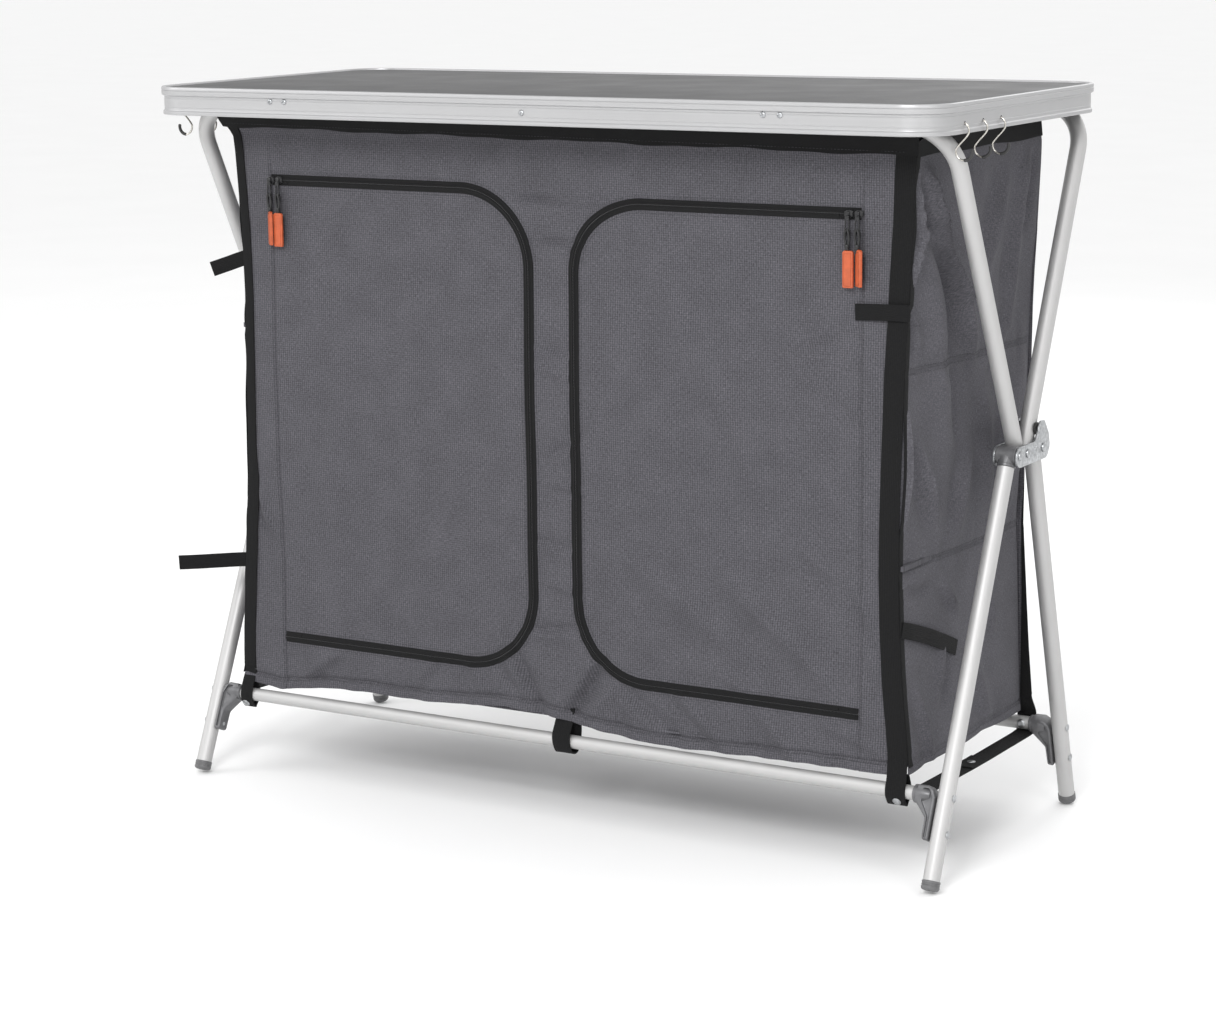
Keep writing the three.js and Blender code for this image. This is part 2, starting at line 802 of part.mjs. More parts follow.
// How far the black band at the top of the front stands out to pass before the crossbar
function frontFlare(z) {
  const full = cloth_front_setback + tube_radius + band_top_room + cloth_thickness;
  return full * smooth((z - band_start) / (crossbar_height - tube_radius / 4 - band_start));
}

function hemHeight(share) {
  return hem_height + hem_wave * Math.sin(1.5 * Math.PI * share + Math.PI / 4) * Math.sin(Math.PI * share);
}

// The front ends just under the lips of the catches
function frontTop() {
  return crossbar_height + tube_radius - catch_lip_drop;
}

function frontSheet() {
  const top = frontTop();
  const rows = cloth_rows + front_band_rows;
  return sheet(front_columns, rows, (across, up, side) => {
    const row = Math.round(up * rows);
    const z = row <= cloth_rows
      ? THREE.MathUtils.lerp(hemHeight(across), band_start, row / cloth_rows)
      : THREE.MathUtils.lerp(band_start, top, (row - cloth_rows) / front_band_rows);
    const x = THREE.MathUtils.lerp(-panel_half_length, panel_half_length, across);
    return [x, cloth_front_y - frontFlare(z) + side * cloth_thickness, z];
  });
}

function doorOuterX() {
  return panel_half_length - door_side_margin;
}

// A door's outline on one side, grown by a slit all round: round corners towards the middle
function doorShape(grow) {
  const inner = door_middle_half - grow;
  const outer = doorOuterX() + grow;
  const low = door_bottom - grow;
  const high = door_top + grow;
  const radius = door_corner_radius + grow;
  const outline = new THREE.Shape();
  outline.moveTo(outer, low);
  outline.lineTo(outer, high);
  outline.lineTo(inner + radius, high);
  outline.absarc(inner + radius, high - radius, radius, Math.PI / 2, Math.PI, false);
  outline.absarc(inner + radius, low + radius, radius, Math.PI, 1.5 * Math.PI, false);
  outline.closePath();
  return outline;
}

function doorTool(side, grow) {
  return sided(pulledAlongY(doorShape(grow), cloth_front_y - cut_reach, cloth_front_y + cut_reach), side);
}

function frontPanel() {
  return geometryOf(cut(solidOf(frontSheet()), doorTool(-1, door_slit), doorTool(1, door_slit)));
}

function door(side) {
  return geometryOf(solidOf(frontSheet()).intersect(solidOf(doorTool(side, 0))));
}

// Upright folds that fall from the front of a side panel and fade out towards its rear
function sideFold(across, up) {
  const ridges = Math.cos(Math.PI * side_folds * across) ** 2;
  const front = Math.exp(-side_fold_fade * across) + side_fold_rest_share;
  const held = Math.sin(Math.PI * up);
  return fold_depth * ridges * front * held;
}

function sideSheet() {
  const rows = cloth_rows + side_band_rows;
  const front_y = cloth_front_y - seat_gap - webbing_thickness;
  const back_y = cloth_back_y + seat_gap + webbing_thickness;
  const top = board_bottom - seat_gap;
  return sheet(side_columns, rows, (across, up, side) => {
    const row = Math.round(up * rows);
    const z = row <= cloth_rows
      ? THREE.MathUtils.lerp(hem_height, band_start, row / cloth_rows)
      : THREE.MathUtils.lerp(band_start, top, (row - cloth_rows) / side_band_rows);
    const spread = smooth((z - band_start) / (rim_bottom - band_start));
    const y = THREE.MathUtils.lerp(front_y + side_corner_setback * spread, back_y, across);
    const edge_held = Math.min(1, side_columns * across / 2, side_columns * (1 - across) / 2);
    const fold = row <= cloth_rows ? sideFold(across, row / cloth_rows) * edge_held : 0;
    return [cloth_outer_x + fold + band_flare_side * spread - side * cloth_thickness, y, z];
  });
}

// A strip of corner webbing that runs down beside a corner and ends in a loop round the bar
function cornerWebbing(face_y, outward, bar_place) {
  const near = face_y + outward * seat_gap;
  const far = near + outward * webbing_thickness;
  const loop_inner = bar_radius + webbing_loop_gap;
  const loop_outer = loop_inner + webbing_thickness;
  const inner_x = panel_half_length - webbing_width;
  const strip_low = bar_place.z + loop_inner;
  const strip_high = band_start - seat_gap;
  const strip = block(
    new THREE.Vector3(inner_x, Math.min(near, far), strip_low),
    new THREE.Vector3(cloth_outer_x - cloth_thickness / 2, Math.max(near, far), strip_high),
  );
  const ring = barAlongX(loop_outer, inner_x, panel_half_length, tube_sides);
  ring.translate(0, bar_place.y, bar_place.z);
  const hole = barAlongX(loop_inner, inner_x - cut_overrun, panel_half_length + cut_overrun, tube_sides);
  hole.translate(0, bar_place.y, bar_place.z);
  return { strip, ring, hole };
}

function sidePanel() {
  const front = cornerWebbing(cloth_front_y, -1, front_bar_place);
  const back = cornerWebbing(cloth_back_y, 1, rear_bar_place);
  const joined = join(sideSheet(), front.strip, front.ring, back.strip, back.ring);
  return geometryOf(cut(joined, front.hole, back.hole));
}

function backPanel() {
  const top = board_bottom - seat_gap;
  return sheet(back_columns, back_rows, (across, up, side) => {
    const x = THREE.MathUtils.lerp(panel_half_length, -panel_half_length, across);
    const sag = fold_depth / 2 * Math.sin(Math.PI * up) * Math.sin(back_folds * Math.PI * across) ** 2;
    return [x, cloth_back_y - sag - side * cloth_thickness, THREE.MathUtils.lerp(hem_height, top, up)];
  });
}

// A level cloth shelf or floor that sags a little between the panels it is sewn to
function levelSheet(bottom, thickness, sag) {
  const front = cloth_front_y + cloth_thickness + seat_gap;
  const back = cloth_back_y - cloth_thickness - fold_depth / 2 - seat_gap;
  return sheet(shelf_columns, shelf_rows, (across, up, side) => {
    const x = THREE.MathUtils.lerp(-panel_half_length, panel_half_length, up);
    const y = THREE.MathUtils.lerp(front, back, across);
    const dip = sag * Math.sin(Math.PI * across) * Math.sin(Math.PI * up);
    return [x, y, bottom - dip + side * thickness];
  });
}

// Zip sliders and their pull tags

// The leading slider waits just past the door's outer edge, and the trailing one behind it
function sliderX(index) {
  return doorOuterX() + door_slit + slider_door_room + tag_width / 2 + index * slider_pitch;
}

function zipSlider() {
  const half = slider_length / 2;
  const high = slider_height / 2;
  const outline = polygon([
    [-half, -high / 2],
    [-half / 2, -high],
    [half / 2, -high],
    [half, -high / 2],
    [half, high / 2],
    [half / 2, high],
    [-half / 2, high],
    [-half, high / 2],
  ]);
  return pulledAlongY(outline, -slider_depth, 0);
}

function pullTag() {
  const puller = block(
    new THREE.Vector3(-puller_width / 2, -puller_thickness / 2, -puller_length - tag_length / 4),
    new THREE.Vector3(puller_width / 2, puller_thickness / 2, puller_thickness / 2),
  );
  const half = tag_width / 2;
  const outline = polygon([
    [-half, -puller_length - tag_length],
    [half, -puller_length - tag_length],
    [half, -puller_length - tag_width / 4],
    [half - tag_width / 4, -puller_length],
    [-half + tag_width / 4, -puller_length],
    [-half, -puller_length - tag_width / 4],
  ]);
  const tag = pulledAlongY(outline, -tag_thickness / 2, tag_thickness / 2);
  return geometryOf(join(puller, tag));
}

// Tie straps: a band from behind the front bracket to round the rear bar

function bandOutline(points, thickness) {
  const left = [];
  const right = [];
  points.forEach((point, index) => {
    const before = points[Math.max(index - 1, 0)];
    const after = points[Math.min(index + 1, points.length - 1)];
    const into = new THREE.Vector2().subVectors(point, before);
    const out = new THREE.Vector2().subVectors(after, point);
    const first = (index > 0 ? into : out).normalize();
    const second = (index < points.length - 1 ? out : into).normalize();
    const normal = new THREE.Vector2(-first.y - second.y, first.x + second.x).normalize();
    const stretch = 1 / Math.max(0.5, normal.dot(new THREE.Vector2(-first.y, first.x)));
    const offset = normal.multiplyScalar(stretch * thickness / 2);
    left.push(point.clone().add(offset));
    right.push(point.clone().sub(offset));
  });
  return new THREE.Shape([...right, ...left.reverse()]);
}

function tieStrap() {
  const lean = Math.atan2(front_foot_y - front_leg_pivot_y, pivot_height);
  const socket_radius = bar_radius + seat_gap + bracket_socket_wall;
  const stand_off = socket_radius + seat_gap + strap_thickness / 2;
  const bar_point = (across, along) => new THREE.Vector2(
    front_bar_place.y + across * Math.cos(lean) - along * Math.sin(lean),
    front_bar_place.z + across * Math.sin(lean) + along * Math.cos(lean),
  );
  const points = [
    bar_point(stand_off, -strap_tab_length / 2),
    bar_point(stand_off, strap_tab_length / 2),
  ];
  const wrap_steps = bend_steps;
  for (let step = 0; step <= wrap_steps; step += 1) {
    const angle = THREE.MathUtils.lerp(-Math.PI / 2, strap_wrap_angle, step / wrap_steps);
    const wrap_radius = stand_off + seat_gap;
    points.push(new THREE.Vector2(
      rear_bar_place.y + wrap_radius * Math.cos(angle),
      rear_bar_place.z + wrap_radius * Math.sin(angle),
    ));
  }
  const start = bracketInnerX() - strap_front_margin;
  const strap = bare(pulledAlongX(bandOutline(points, strap_thickness), start, start + strap_width));
  const places = strap.attributes.position;
  const run = rear_bar_place.y - front_bar_place.y;
  for (let i = 0; i < places.count; i += 1) {
    const share = (places.getY(i) - front_bar_place.y) / run;
    places.setX(i, places.getX(i) - strap_inward_shift * share);
  }
  return strap;
}

// The assembly

function rearFrameGroup() {
  const group = new THREE.Group();
  const tube = namedMesh('rear_upper_frame', upperFrame(rear_frame_reach, [0, upper_rivet_step]), 'tube');
  tube.position.set(0, rear_frame_pivot_y, pivot_height);
  tube.rotation.x = rear_frame_lean;
  group.add(tube);
  const pins = [
    ['front_leg', front_leg_pivot_y, false],
    ['front_frame', front_frame_pivot_y, true],
    ['rear_leg', rear_leg_pivot_y, false],
  ];
  for (const [side, hand] of [[-1, 'left'], [1, 'right']]) {
    const hinge = new THREE.Group();
    hinge.position.x = side * tube_plane_x;
    hinge.add(namedMesh(`hinge_plate_outer_${hand}`, sided(hingePlate(true), side), 'zinc'));
    hinge.add(namedMesh(`hinge_plate_inner_${hand}`, sided(hingePlate(false), side), 'zinc'));
    for (const [which, pivot_y, with_washers] of pins) {
      const pivot_pin = namedMesh(`${which}_pivot_pin_${hand}`, pin(with_washers), 'zinc');
      pivot_pin.position.set(0, pivot_y, pivot_height);
      hinge.add(pivot_pin);
    }
    group.add(hinge);
  }
  return group;
}

function frontFrameGroup() {
  const group = new THREE.Group();
  group.position.set(0, front_frame_pivot_y, pivot_height);
  group.rotation.x = front_frame_lean;
  group.add(namedMesh('front_upper_frame', upperFrame(front_frame_reach, [0]), 'tube'));
  return group;
}

function worktopGroup() {
  const group = new THREE.Group();
  group.add(namedMesh('worktop_rim', worktopRim(), 'rim'));
  group.add(namedMesh('worktop_board', worktopBoard(), 'laminate'));
  group.add(namedMesh('rear_clip', rearClip(), 'cap'));
  const hook_names = ['front', 'middle', 'rear'];
  for (const [side, hand] of [[-1, 'left'], [1, 'right']]) {
    group.add(namedMesh(`front_catch_${hand}`, frontCatch(side), 'zinc'));
    for (let index = 0; index < hooks_per_side; index += 1) {
      const place = hook_names[index] ?? `extra_${index}`;
      const s_hook = namedMesh(`hook_${hand}_${place}`, sided(hook(), side), 'wire');
      s_hook.position.set(side * hookPivotX(), hookPivotY(index), hookHeight());
      group.add(s_hook);
    }
  }
  return group;
}

function zipGroup(side, hand) {
  const group = new THREE.Group();
  for (const [index, rank] of ['leading', 'trailing'].entries()) {
    const runner = new THREE.Group();
    runner.position.set(side * sliderX(index), cloth_front_y - seat_gap, door_top);
    runner.add(namedMesh(`zip_slider_${hand}_${rank}`, zipSlider(), 'webbing'));
    const tag = namedMesh(`pull_tag_${hand}_${rank}`, pullTag(), 'tag');
    tag.position.set(0, -slider_depth - puller_play - puller_thickness / 2, -slider_height / 4);
    runner.add(tag);
    group.add(runner);
  }
  return group;
}

function cupboardGroup() {
  const group = new THREE.Group();
  group.add(namedMesh('cloth_front', frontPanel(), 'cloth'));
  group.add(namedMesh('cloth_back', backPanel(), 'cloth'));
  group.add(namedMesh('cloth_floor', levelSheet(floor_height, floor_thickness, 0), 'cloth'));
  group.add(namedMesh('shelf_lower', levelSheet(shelf_heights[0], shelf_thickness, shelf_sag), 'cloth'));
  group.add(namedMesh('shelf_upper', levelSheet(shelf_heights[1], shelf_thickness, shelf_sag), 'cloth'));
  for (const [side, hand] of [[-1, 'left'], [1, 'right']]) {
    group.add(namedMesh(`cloth_side_${hand}`, sided(sidePanel(), side), 'cloth'));
    group.add(namedMesh(`door_${hand}`, door(side), 'cloth'));
    group.add(zipGroup(side, hand));
  }
  return group;
}

function tieStrapGroup() {
  const group = new THREE.Group();
  for (const [side, hand] of [[-1, 'left'], [1, 'right']]) {
    group.add(namedMesh(`tie_strap_${hand}`, sided(tieStrap(), side), 'webbing'));
  }
  return group;
}

const cupboard = new THREE.Group();
cupboard.add(rearFrameGroup());
cupboard.add(frontFrameGroup());
cupboard.add(legPair('front', front_leg_pivot_y, front_foot_y, front_bar_height));
cupboard.add(legPair('rear', rear_leg_pivot_y, rear_foot_y, rear_bar_height));
cupboard.add(worktopGroup());
cupboard.add(cupboardGroup());
cupboard.add(tieStrapGroup());

export default cupboard;
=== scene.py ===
# Looks of a folding camping kitchen cupboard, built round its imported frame.
# Sizes and places are in millimetres in the frame's own axes, and meshes are made in metres.

import json
import math
import random

import bmesh
import bpy
import numpy as np
from mathutils import Matrix, Vector


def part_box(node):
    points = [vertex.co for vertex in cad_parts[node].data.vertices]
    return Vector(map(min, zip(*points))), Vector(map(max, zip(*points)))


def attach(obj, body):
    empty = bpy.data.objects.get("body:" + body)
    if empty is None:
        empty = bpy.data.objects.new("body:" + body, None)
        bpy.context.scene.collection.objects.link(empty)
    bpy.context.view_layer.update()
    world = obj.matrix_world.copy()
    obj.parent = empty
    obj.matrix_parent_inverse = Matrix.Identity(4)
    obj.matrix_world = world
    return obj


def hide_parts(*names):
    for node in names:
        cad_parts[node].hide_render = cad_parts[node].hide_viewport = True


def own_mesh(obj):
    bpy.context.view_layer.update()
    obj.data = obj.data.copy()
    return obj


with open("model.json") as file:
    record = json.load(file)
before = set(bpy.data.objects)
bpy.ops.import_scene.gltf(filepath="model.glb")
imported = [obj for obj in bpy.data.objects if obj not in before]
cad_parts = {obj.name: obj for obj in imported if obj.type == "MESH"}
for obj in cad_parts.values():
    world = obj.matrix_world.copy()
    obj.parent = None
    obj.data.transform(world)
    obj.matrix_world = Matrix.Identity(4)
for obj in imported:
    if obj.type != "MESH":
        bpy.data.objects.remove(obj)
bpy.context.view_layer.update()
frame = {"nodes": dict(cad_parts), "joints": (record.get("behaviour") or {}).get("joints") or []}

MM = 0.001
HANDS = (("left", -1), ("right", 1))


def node_box(name):
    low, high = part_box(name)
    return np.array(low) / MM, np.array(high) / MM


def joint_place(name):
    found = next(joint for joint in frame["joints"] if joint["name"] == name)
    return np.array(found["pos_m"]) / MM


def bar_place(name):
    """The middle of a lower bar's section, on the middle plane."""
    low, high = node_box(name)
    return np.array([0, (low[1] + high[1]) / 2, (low[2] + high[2]) / 2])


# Places read from the frame
rim_low, rim_high = node_box("worktop_rim")
board_low, board_high = node_box("worktop_board")
door_low, door_high = node_box("door_right")
upper_low, upper_high = node_box("front_upper_frame")
rear_upper_high = node_box("rear_upper_frame")[1]
front_bar_place = bar_place("front_bar")
rear_bar_place = bar_place("rear_bar")
front_leg_pivot = joint_place("front_leg_fold")
front_frame_pivot = joint_place("front_frame_fold")
rear_leg_pivot = joint_place("rear_leg_fold")

# Sizes of the metal pieces
tube_radius = 9.5
tube_wall = 1.2
bar_radius = 8.0
frame_bend = 55.0
pivot_z = front_leg_pivot[2]
rear_frame_y = (front_frame_pivot[1] + rear_leg_pivot[1]) / 2
tube_x = upper_high[0] - tube_radius
crossbar_z = upper_high[2] - tube_radius
front_crossbar_y = upper_low[1] + tube_radius
rear_crossbar_y = rear_upper_high[1] - tube_radius
foot_y = 196.0
plate_gap = 12.2
plate_thickness = 2.5

# Sizes of the cloth
front_y = door_low[1]
cupboard_depth = 317
back_y = front_y + cupboard_depth
side_x = 456.7
cloth_wall = 1.2
low_edge_z = 117.0
side_hem_seam_z = 129.0
front_hem_width = 12.5
front_low_z = 112
band_z = 786.0
front_top_z = 828.0
side_top_z = board_low[2] - 0.5
door_inner, door_outer = door_low[0], door_high[0]
door_bottom, door_top = door_low[2], door_high[2]
door_radius = 90.0
seam_x = 391.0
straight_x = 397
zip_end_x = 390.0
tape_half = 6.5
tape_gap = 0.35
zip_gap = 0.5
grid_step = 4.0
band_step = 5.0
band_wall = 1.0


# Meshes

def in_scene(name, mesh):
    made = bpy.data.objects.new(name, mesh)
    bpy.context.scene.collection.objects.link(made)
    return made


def mesh_object(name, points, faces, look, uvs=None, crisp=40.0, outward=True):
    """A mesh from points in millimetres. uvs holds one pair for each corner of each face."""
    mesh = bpy.data.meshes.new(name)
    mesh.from_pydata((np.asarray(points, float) * MM).tolist(), [], faces)
    if uvs is not None:
        layer = mesh.uv_layers.new(name="Weave")
        layer.data.foreach_set("uv", (np.asarray(uvs, float) * MM).ravel())
    if outward:
        work = bmesh.new()
        work.from_mesh(mesh)
        bmesh.ops.recalc_face_normals(work, faces=work.faces)
        work.to_mesh(mesh)
        work.free()
    mesh.materials.append(look)
    smooth_over(mesh, crisp)
    return in_scene(name, mesh)


def smooth_over(mesh, crisp):
    """Smooth shading with an edge wherever two faces meet at more than crisp degrees."""
    mesh.polygons.foreach_set("use_smooth", [True] * len(mesh.polygons))
    mesh.set_sharp_from_angle(angle=math.radians(crisp))


def settled(piece, body, slot, *replaced):
    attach(piece, body)
    if replaced:
        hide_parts(*replaced)
    return piece


def gathers(piece):
    """The piece gets a mesh of its own."""
    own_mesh(piece)


def applied(made):
    """The object's mesh with its modifiers in it and its place in the mesh."""
    graph = bpy.context.evaluated_depsgraph_get()
    mesh = bpy.data.meshes.new_from_object(made.evaluated_get(graph))
    mesh.transform(made.matrix_world)
    old = made.data
    made.modifiers.clear()
    if made.type == "MESH":
        made.data = mesh
        made.matrix_world = Matrix.Identity(4)
        bpy.data.meshes.remove(old)
        return made
    name = made.name
    bpy.data.objects.remove(made)
    return in_scene(name, mesh)


def unit(vectors):
    vectors = np.asarray(vectors, float)
    return vectors / np.linalg.norm(vectors, axis=-1, keepdims=True)


def running_length(points):
    steps = np.linalg.norm(np.diff(points, axis=0), axis=1)
    return np.concatenate([[0], np.cumsum(steps)])


def loft(name, rings, look, closed_path=False, crisp=40.0):
    """A closed skin over rings of points, with flat ends unless the path closes on itself."""
    rings = np.asarray(rings, float)
    count, around = rings.shape[:2]
    middles = rings.mean(axis=1)
    along = running_length(np.concatenate([middles, middles[:1]]))
    widest = max(range(count), key=lambda i: np.ptp(rings[i], axis=0).sum())
    across = running_length(np.concatenate([rings[widest], rings[widest][:1]]))
    faces = []
    uvs = []
    for i in range(count if closed_path else count - 1):
        k = (i + 1) % count
        for j in range(around):
            l = (j + 1) % around
            faces.append((i * around + j, i * around + l, k * around + l, k * around + j))
            uvs += [(along[i], across[j]), (along[i], across[j + 1])]
            uvs += [(along[i + 1], across[j + 1]), (along[i + 1], across[j])]
    if not closed_path:
        for row in (0, count - 1):
            faces.append(tuple(row * around + j for j in range(around)))
            uvs += [(along[row], across[j]) for j in range(around)]
    return mesh_object(name, rings.reshape(-1, 3), faces, look, uvs, crisp)


def route_frames(route, reference):
    """Directions along a route, and two directions square to it."""
    route = np.asarray(route, float)
    along = unit(np.gradient(route, axis=0))
    side = unit(np.cross(along, reference))
    return along, side, np.cross(side, along)


def round_rings(route, radii, reference, sides):
    route = np.asarray(route, float)
    _, side, up = route_frames(route, reference)
    turn = np.linspace(0, 2 * math.pi, sides, endpoint=False)
    radii = np.broadcast_to(np.asarray(radii, float), (len(route),))
    spread = np.cos(turn)[None, :, None] * side[:, None] + np.sin(turn)[None, :, None] * up[:, None]
    return route[:, None] + radii[:, None, None] * spread


def tube(name, route, radius, look, reference=(1, 0, 0), wall=None, sides=36):
    outer = round_rings(route, radius, reference, sides)
    if wall is None:
        return loft(name, outer, look)
    inner = round_rings(route, radius - wall, reference, sides)
    return loft(name, np.concatenate([outer, inner[::-1]]), look, closed_path=True)


def turned(name, profile, look, start, axis, reference=(0, 0, 1), sides=32, crisp=40.0):
    """A turned piece: profile holds (distance along the axis, radius) from end to end."""
    axis = unit(axis)
    side = unit(np.cross(axis, reference))
    up = np.cross(side, axis)
    turn = np.linspace(0, 2 * math.pi, sides, endpoint=False)
    spread = np.cos(turn)[:, None] * side + np.sin(turn)[:, None] * up
    rings = [np.asarray(start) + axis * reach + spread * max(radius, 0.01) for reach, radius in profile]
    return loft(name, rings, look, crisp=crisp)


def rounded_section(width, thickness, steps=3):
    """Points round a strap's section: across its width and through its thickness."""
    radius = thickness / 2 * 0.98
    points = []
    for corner in range(4):
        middle = (math.copysign(width / 2 - radius, math.cos((corner + 0.5) * math.pi / 2)),
                  math.copysign(thickness / 2 - radius, math.sin((corner + 0.5) * math.pi / 2)))
        for step in range(steps + 1):
            angle = (corner + step / steps) * math.pi / 2
            points.append((middle[0] + radius * math.cos(angle), middle[1] + radius * math.sin(angle)))
    return np.array(points)


def strap(name, route, width, thickness, look, across=(1, 0, 0), wider=0.0):
    """A flat band along a route, its width along across, and wider still by wider where across points."""
    route = np.asarray(route, float)
    along = unit(np.gradient(route, axis=0))
    across = np.broadcast_to(np.asarray(across, float), route.shape)
    through = unit(np.cross(along, across))
    wide = unit(np.cross(through, along))
    section = rounded_section(width, thickness)
    reach = section[None, :, :1]
    reach = reach + (reach > 0) * np.broadcast_to(wider, len(route))[:, None, None]
    rings = route[:, None] + reach * wide[:, None] + section[None, :, 1:] * through[:, None]
    return loft(name, rings, look, crisp=60.0)


def smooth_route(points, steps=6):
    """A Catmull-Rom curve through given points."""
    points = np.asarray(points, float)
    padded = np.concatenate([[2 * points[0] - points[1]], points, [2 * points[-1] - points[-2]]])
    route = []
    for i in range(1, len(padded) - 2):
        a, b, c, d = padded[i - 1:i + 3]
        for step in range(steps):
            t = step / steps
            route.append(0.5 * (2 * b + (c - a) * t + (2 * a - 5 * b + 4 * c - d) * t ** 2
                                + (3 * b - a - 3 * c + d) * t ** 3))
    route.append(points[-1])
    return np.array(route)


plate_crisp = 35.0


def flat_plate(name, outlines, thickness, bevel, place, look):
    """A plate cut from sheet, with softened edges: the first outline is its edge, the others are holes."""
    curve = bpy.data.curves.new(name, "CURVE")
    curve.dimensions = "2D"
    curve.fill_mode = "BOTH"
    curve.extrude = (thickness / 2 - bevel) * MM
    curve.bevel_depth = bevel * MM
    curve.bevel_resolution = 2
    curve.offset = -bevel * MM
    for outline in outlines:
        spline = curve.splines.new("POLY")
        spline.points.add(len(outline) - 1)
        for point, (x, y) in zip(spline.points, outline):
            point.co = (x * MM, y * MM, 0, 1)
        spline.use_cyclic_u = True
    made = in_scene(name, curve)
    made.matrix_world = place
    bpy.context.view_layer.update()
    made = applied(made)
    work = bmesh.new()
    work.from_mesh(made.data)
    bmesh.ops.remove_doubles(work, verts=work.verts, dist=0.00001)
    bmesh.ops.recalc_face_normals(work, faces=work.faces)
    work.to_mesh(made.data)
    work.free()
    made.data.materials.clear()
    made.data.materials.append(look)
    smooth_over(made.data, plate_crisp)
    return made


def placed(origin, x_axis, y_axis):
    """The place of a flat drawing: its origin and the directions of its two axes."""
    x_axis = Vector(x_axis)
    y_axis = Vector(y_axis)
    turned_axes = Matrix((x_axis, y_axis, x_axis.cross(y_axis))).transposed().to_4x4()
    return Matrix.Translation(Vector(origin) * MM) @ turned_axes


def arc(radius, middle, degrees):
    """Points on a circle, at each of some angles in degrees."""
    points = []
    for angle in map(math.radians, degrees):
        points.append((middle[0] + radius * math.cos(angle), middle[1] + radius * math.sin(angle)))
    return points


def filleted(corners, steps=5):
    """An outline from (x, y, fillet radius) corners."""
    outline = []
    count = len(corners)
    for i, (x, y, radius) in enumerate(corners):
        here = np.array([x, y], float)
        before = unit(np.array(corners[i - 1][:2], float) - here)
        after = unit(np.array(corners[(i + 1) % count][:2], float) - here)
        if radius <= 0:
            outline.append(tuple(here))
            continue
        half = math.acos(np.clip(before @ after, -1, 1)) / 2
        reach = radius / math.tan(half)
        start, end = here + before * reach, here + after * reach
        middle = here + unit(before + after) * radius / math.sin(half)
        first = math.atan2(*(start - middle)[::-1])
        sweep = (math.atan2(*(end - middle)[::-1]) - first + math.pi) % (2 * math.pi) - math.pi
        for step in range(steps + 1):
            angle = first + sweep * step / steps
            outline.append((middle[0] + radius * math.cos(angle), middle[1] + radius * math.sin(angle)))
    return outline


def combined(made, others, operation="UNION"):
    """made joined with or cut by the others, which go."""
    for other in others:
        modifier = made.modifiers.new("combine", "BOOLEAN")
        modifier.operation = operation
        modifier.solver = "EXACT"
        modifier.object = other
    bpy.context.view_layer.update()
    made = applied(made)
    for other in others:
        bpy.data.objects.remove(other)
    smooth_over(made.data, plate_crisp)
    return made


def merged(name, pieces):
    """Several meshes as one object."""
    work = bmesh.new()
    looks = []
    for piece in pieces:
        first_face = len(work.faces)
        work.from_mesh(piece.data)
        work.faces.ensure_lookup_table()
        slots = []
        for look in piece.data.materials:
            if look not in looks:
                looks.append(look)
            slots.append(looks.index(look))
        for face in work.faces[first_face:]:
            face.material_index = slots[min(face.material_index, len(slots) - 1)]
        bpy.data.objects.remove(piece)
    mesh = bpy.data.meshes.new(name)
    work.to_mesh(mesh)
    work.free()
    for look in looks:
        mesh.materials.append(look)
    return in_scene(name, mesh)


# Node graphs

class Graph:
    """Nodes and links of a material or of a geometry tree."""

    def __init__(self, tree):
        self.tree = tree

    def feed(self, socket, value):
        if isinstance(value, bpy.types.NodeSocket):
            self.tree.links.new(value, socket)
        else:
            socket.default_value = value

    def node(self, kind, inputs=None, **settings):
        made = self.tree.nodes.new(kind)
        for setting, value in settings.items():
            setattr(made, setting, value)
        for socket, value in (inputs or {}).items():
            self.feed(made.inputs[socket], value)
        return made


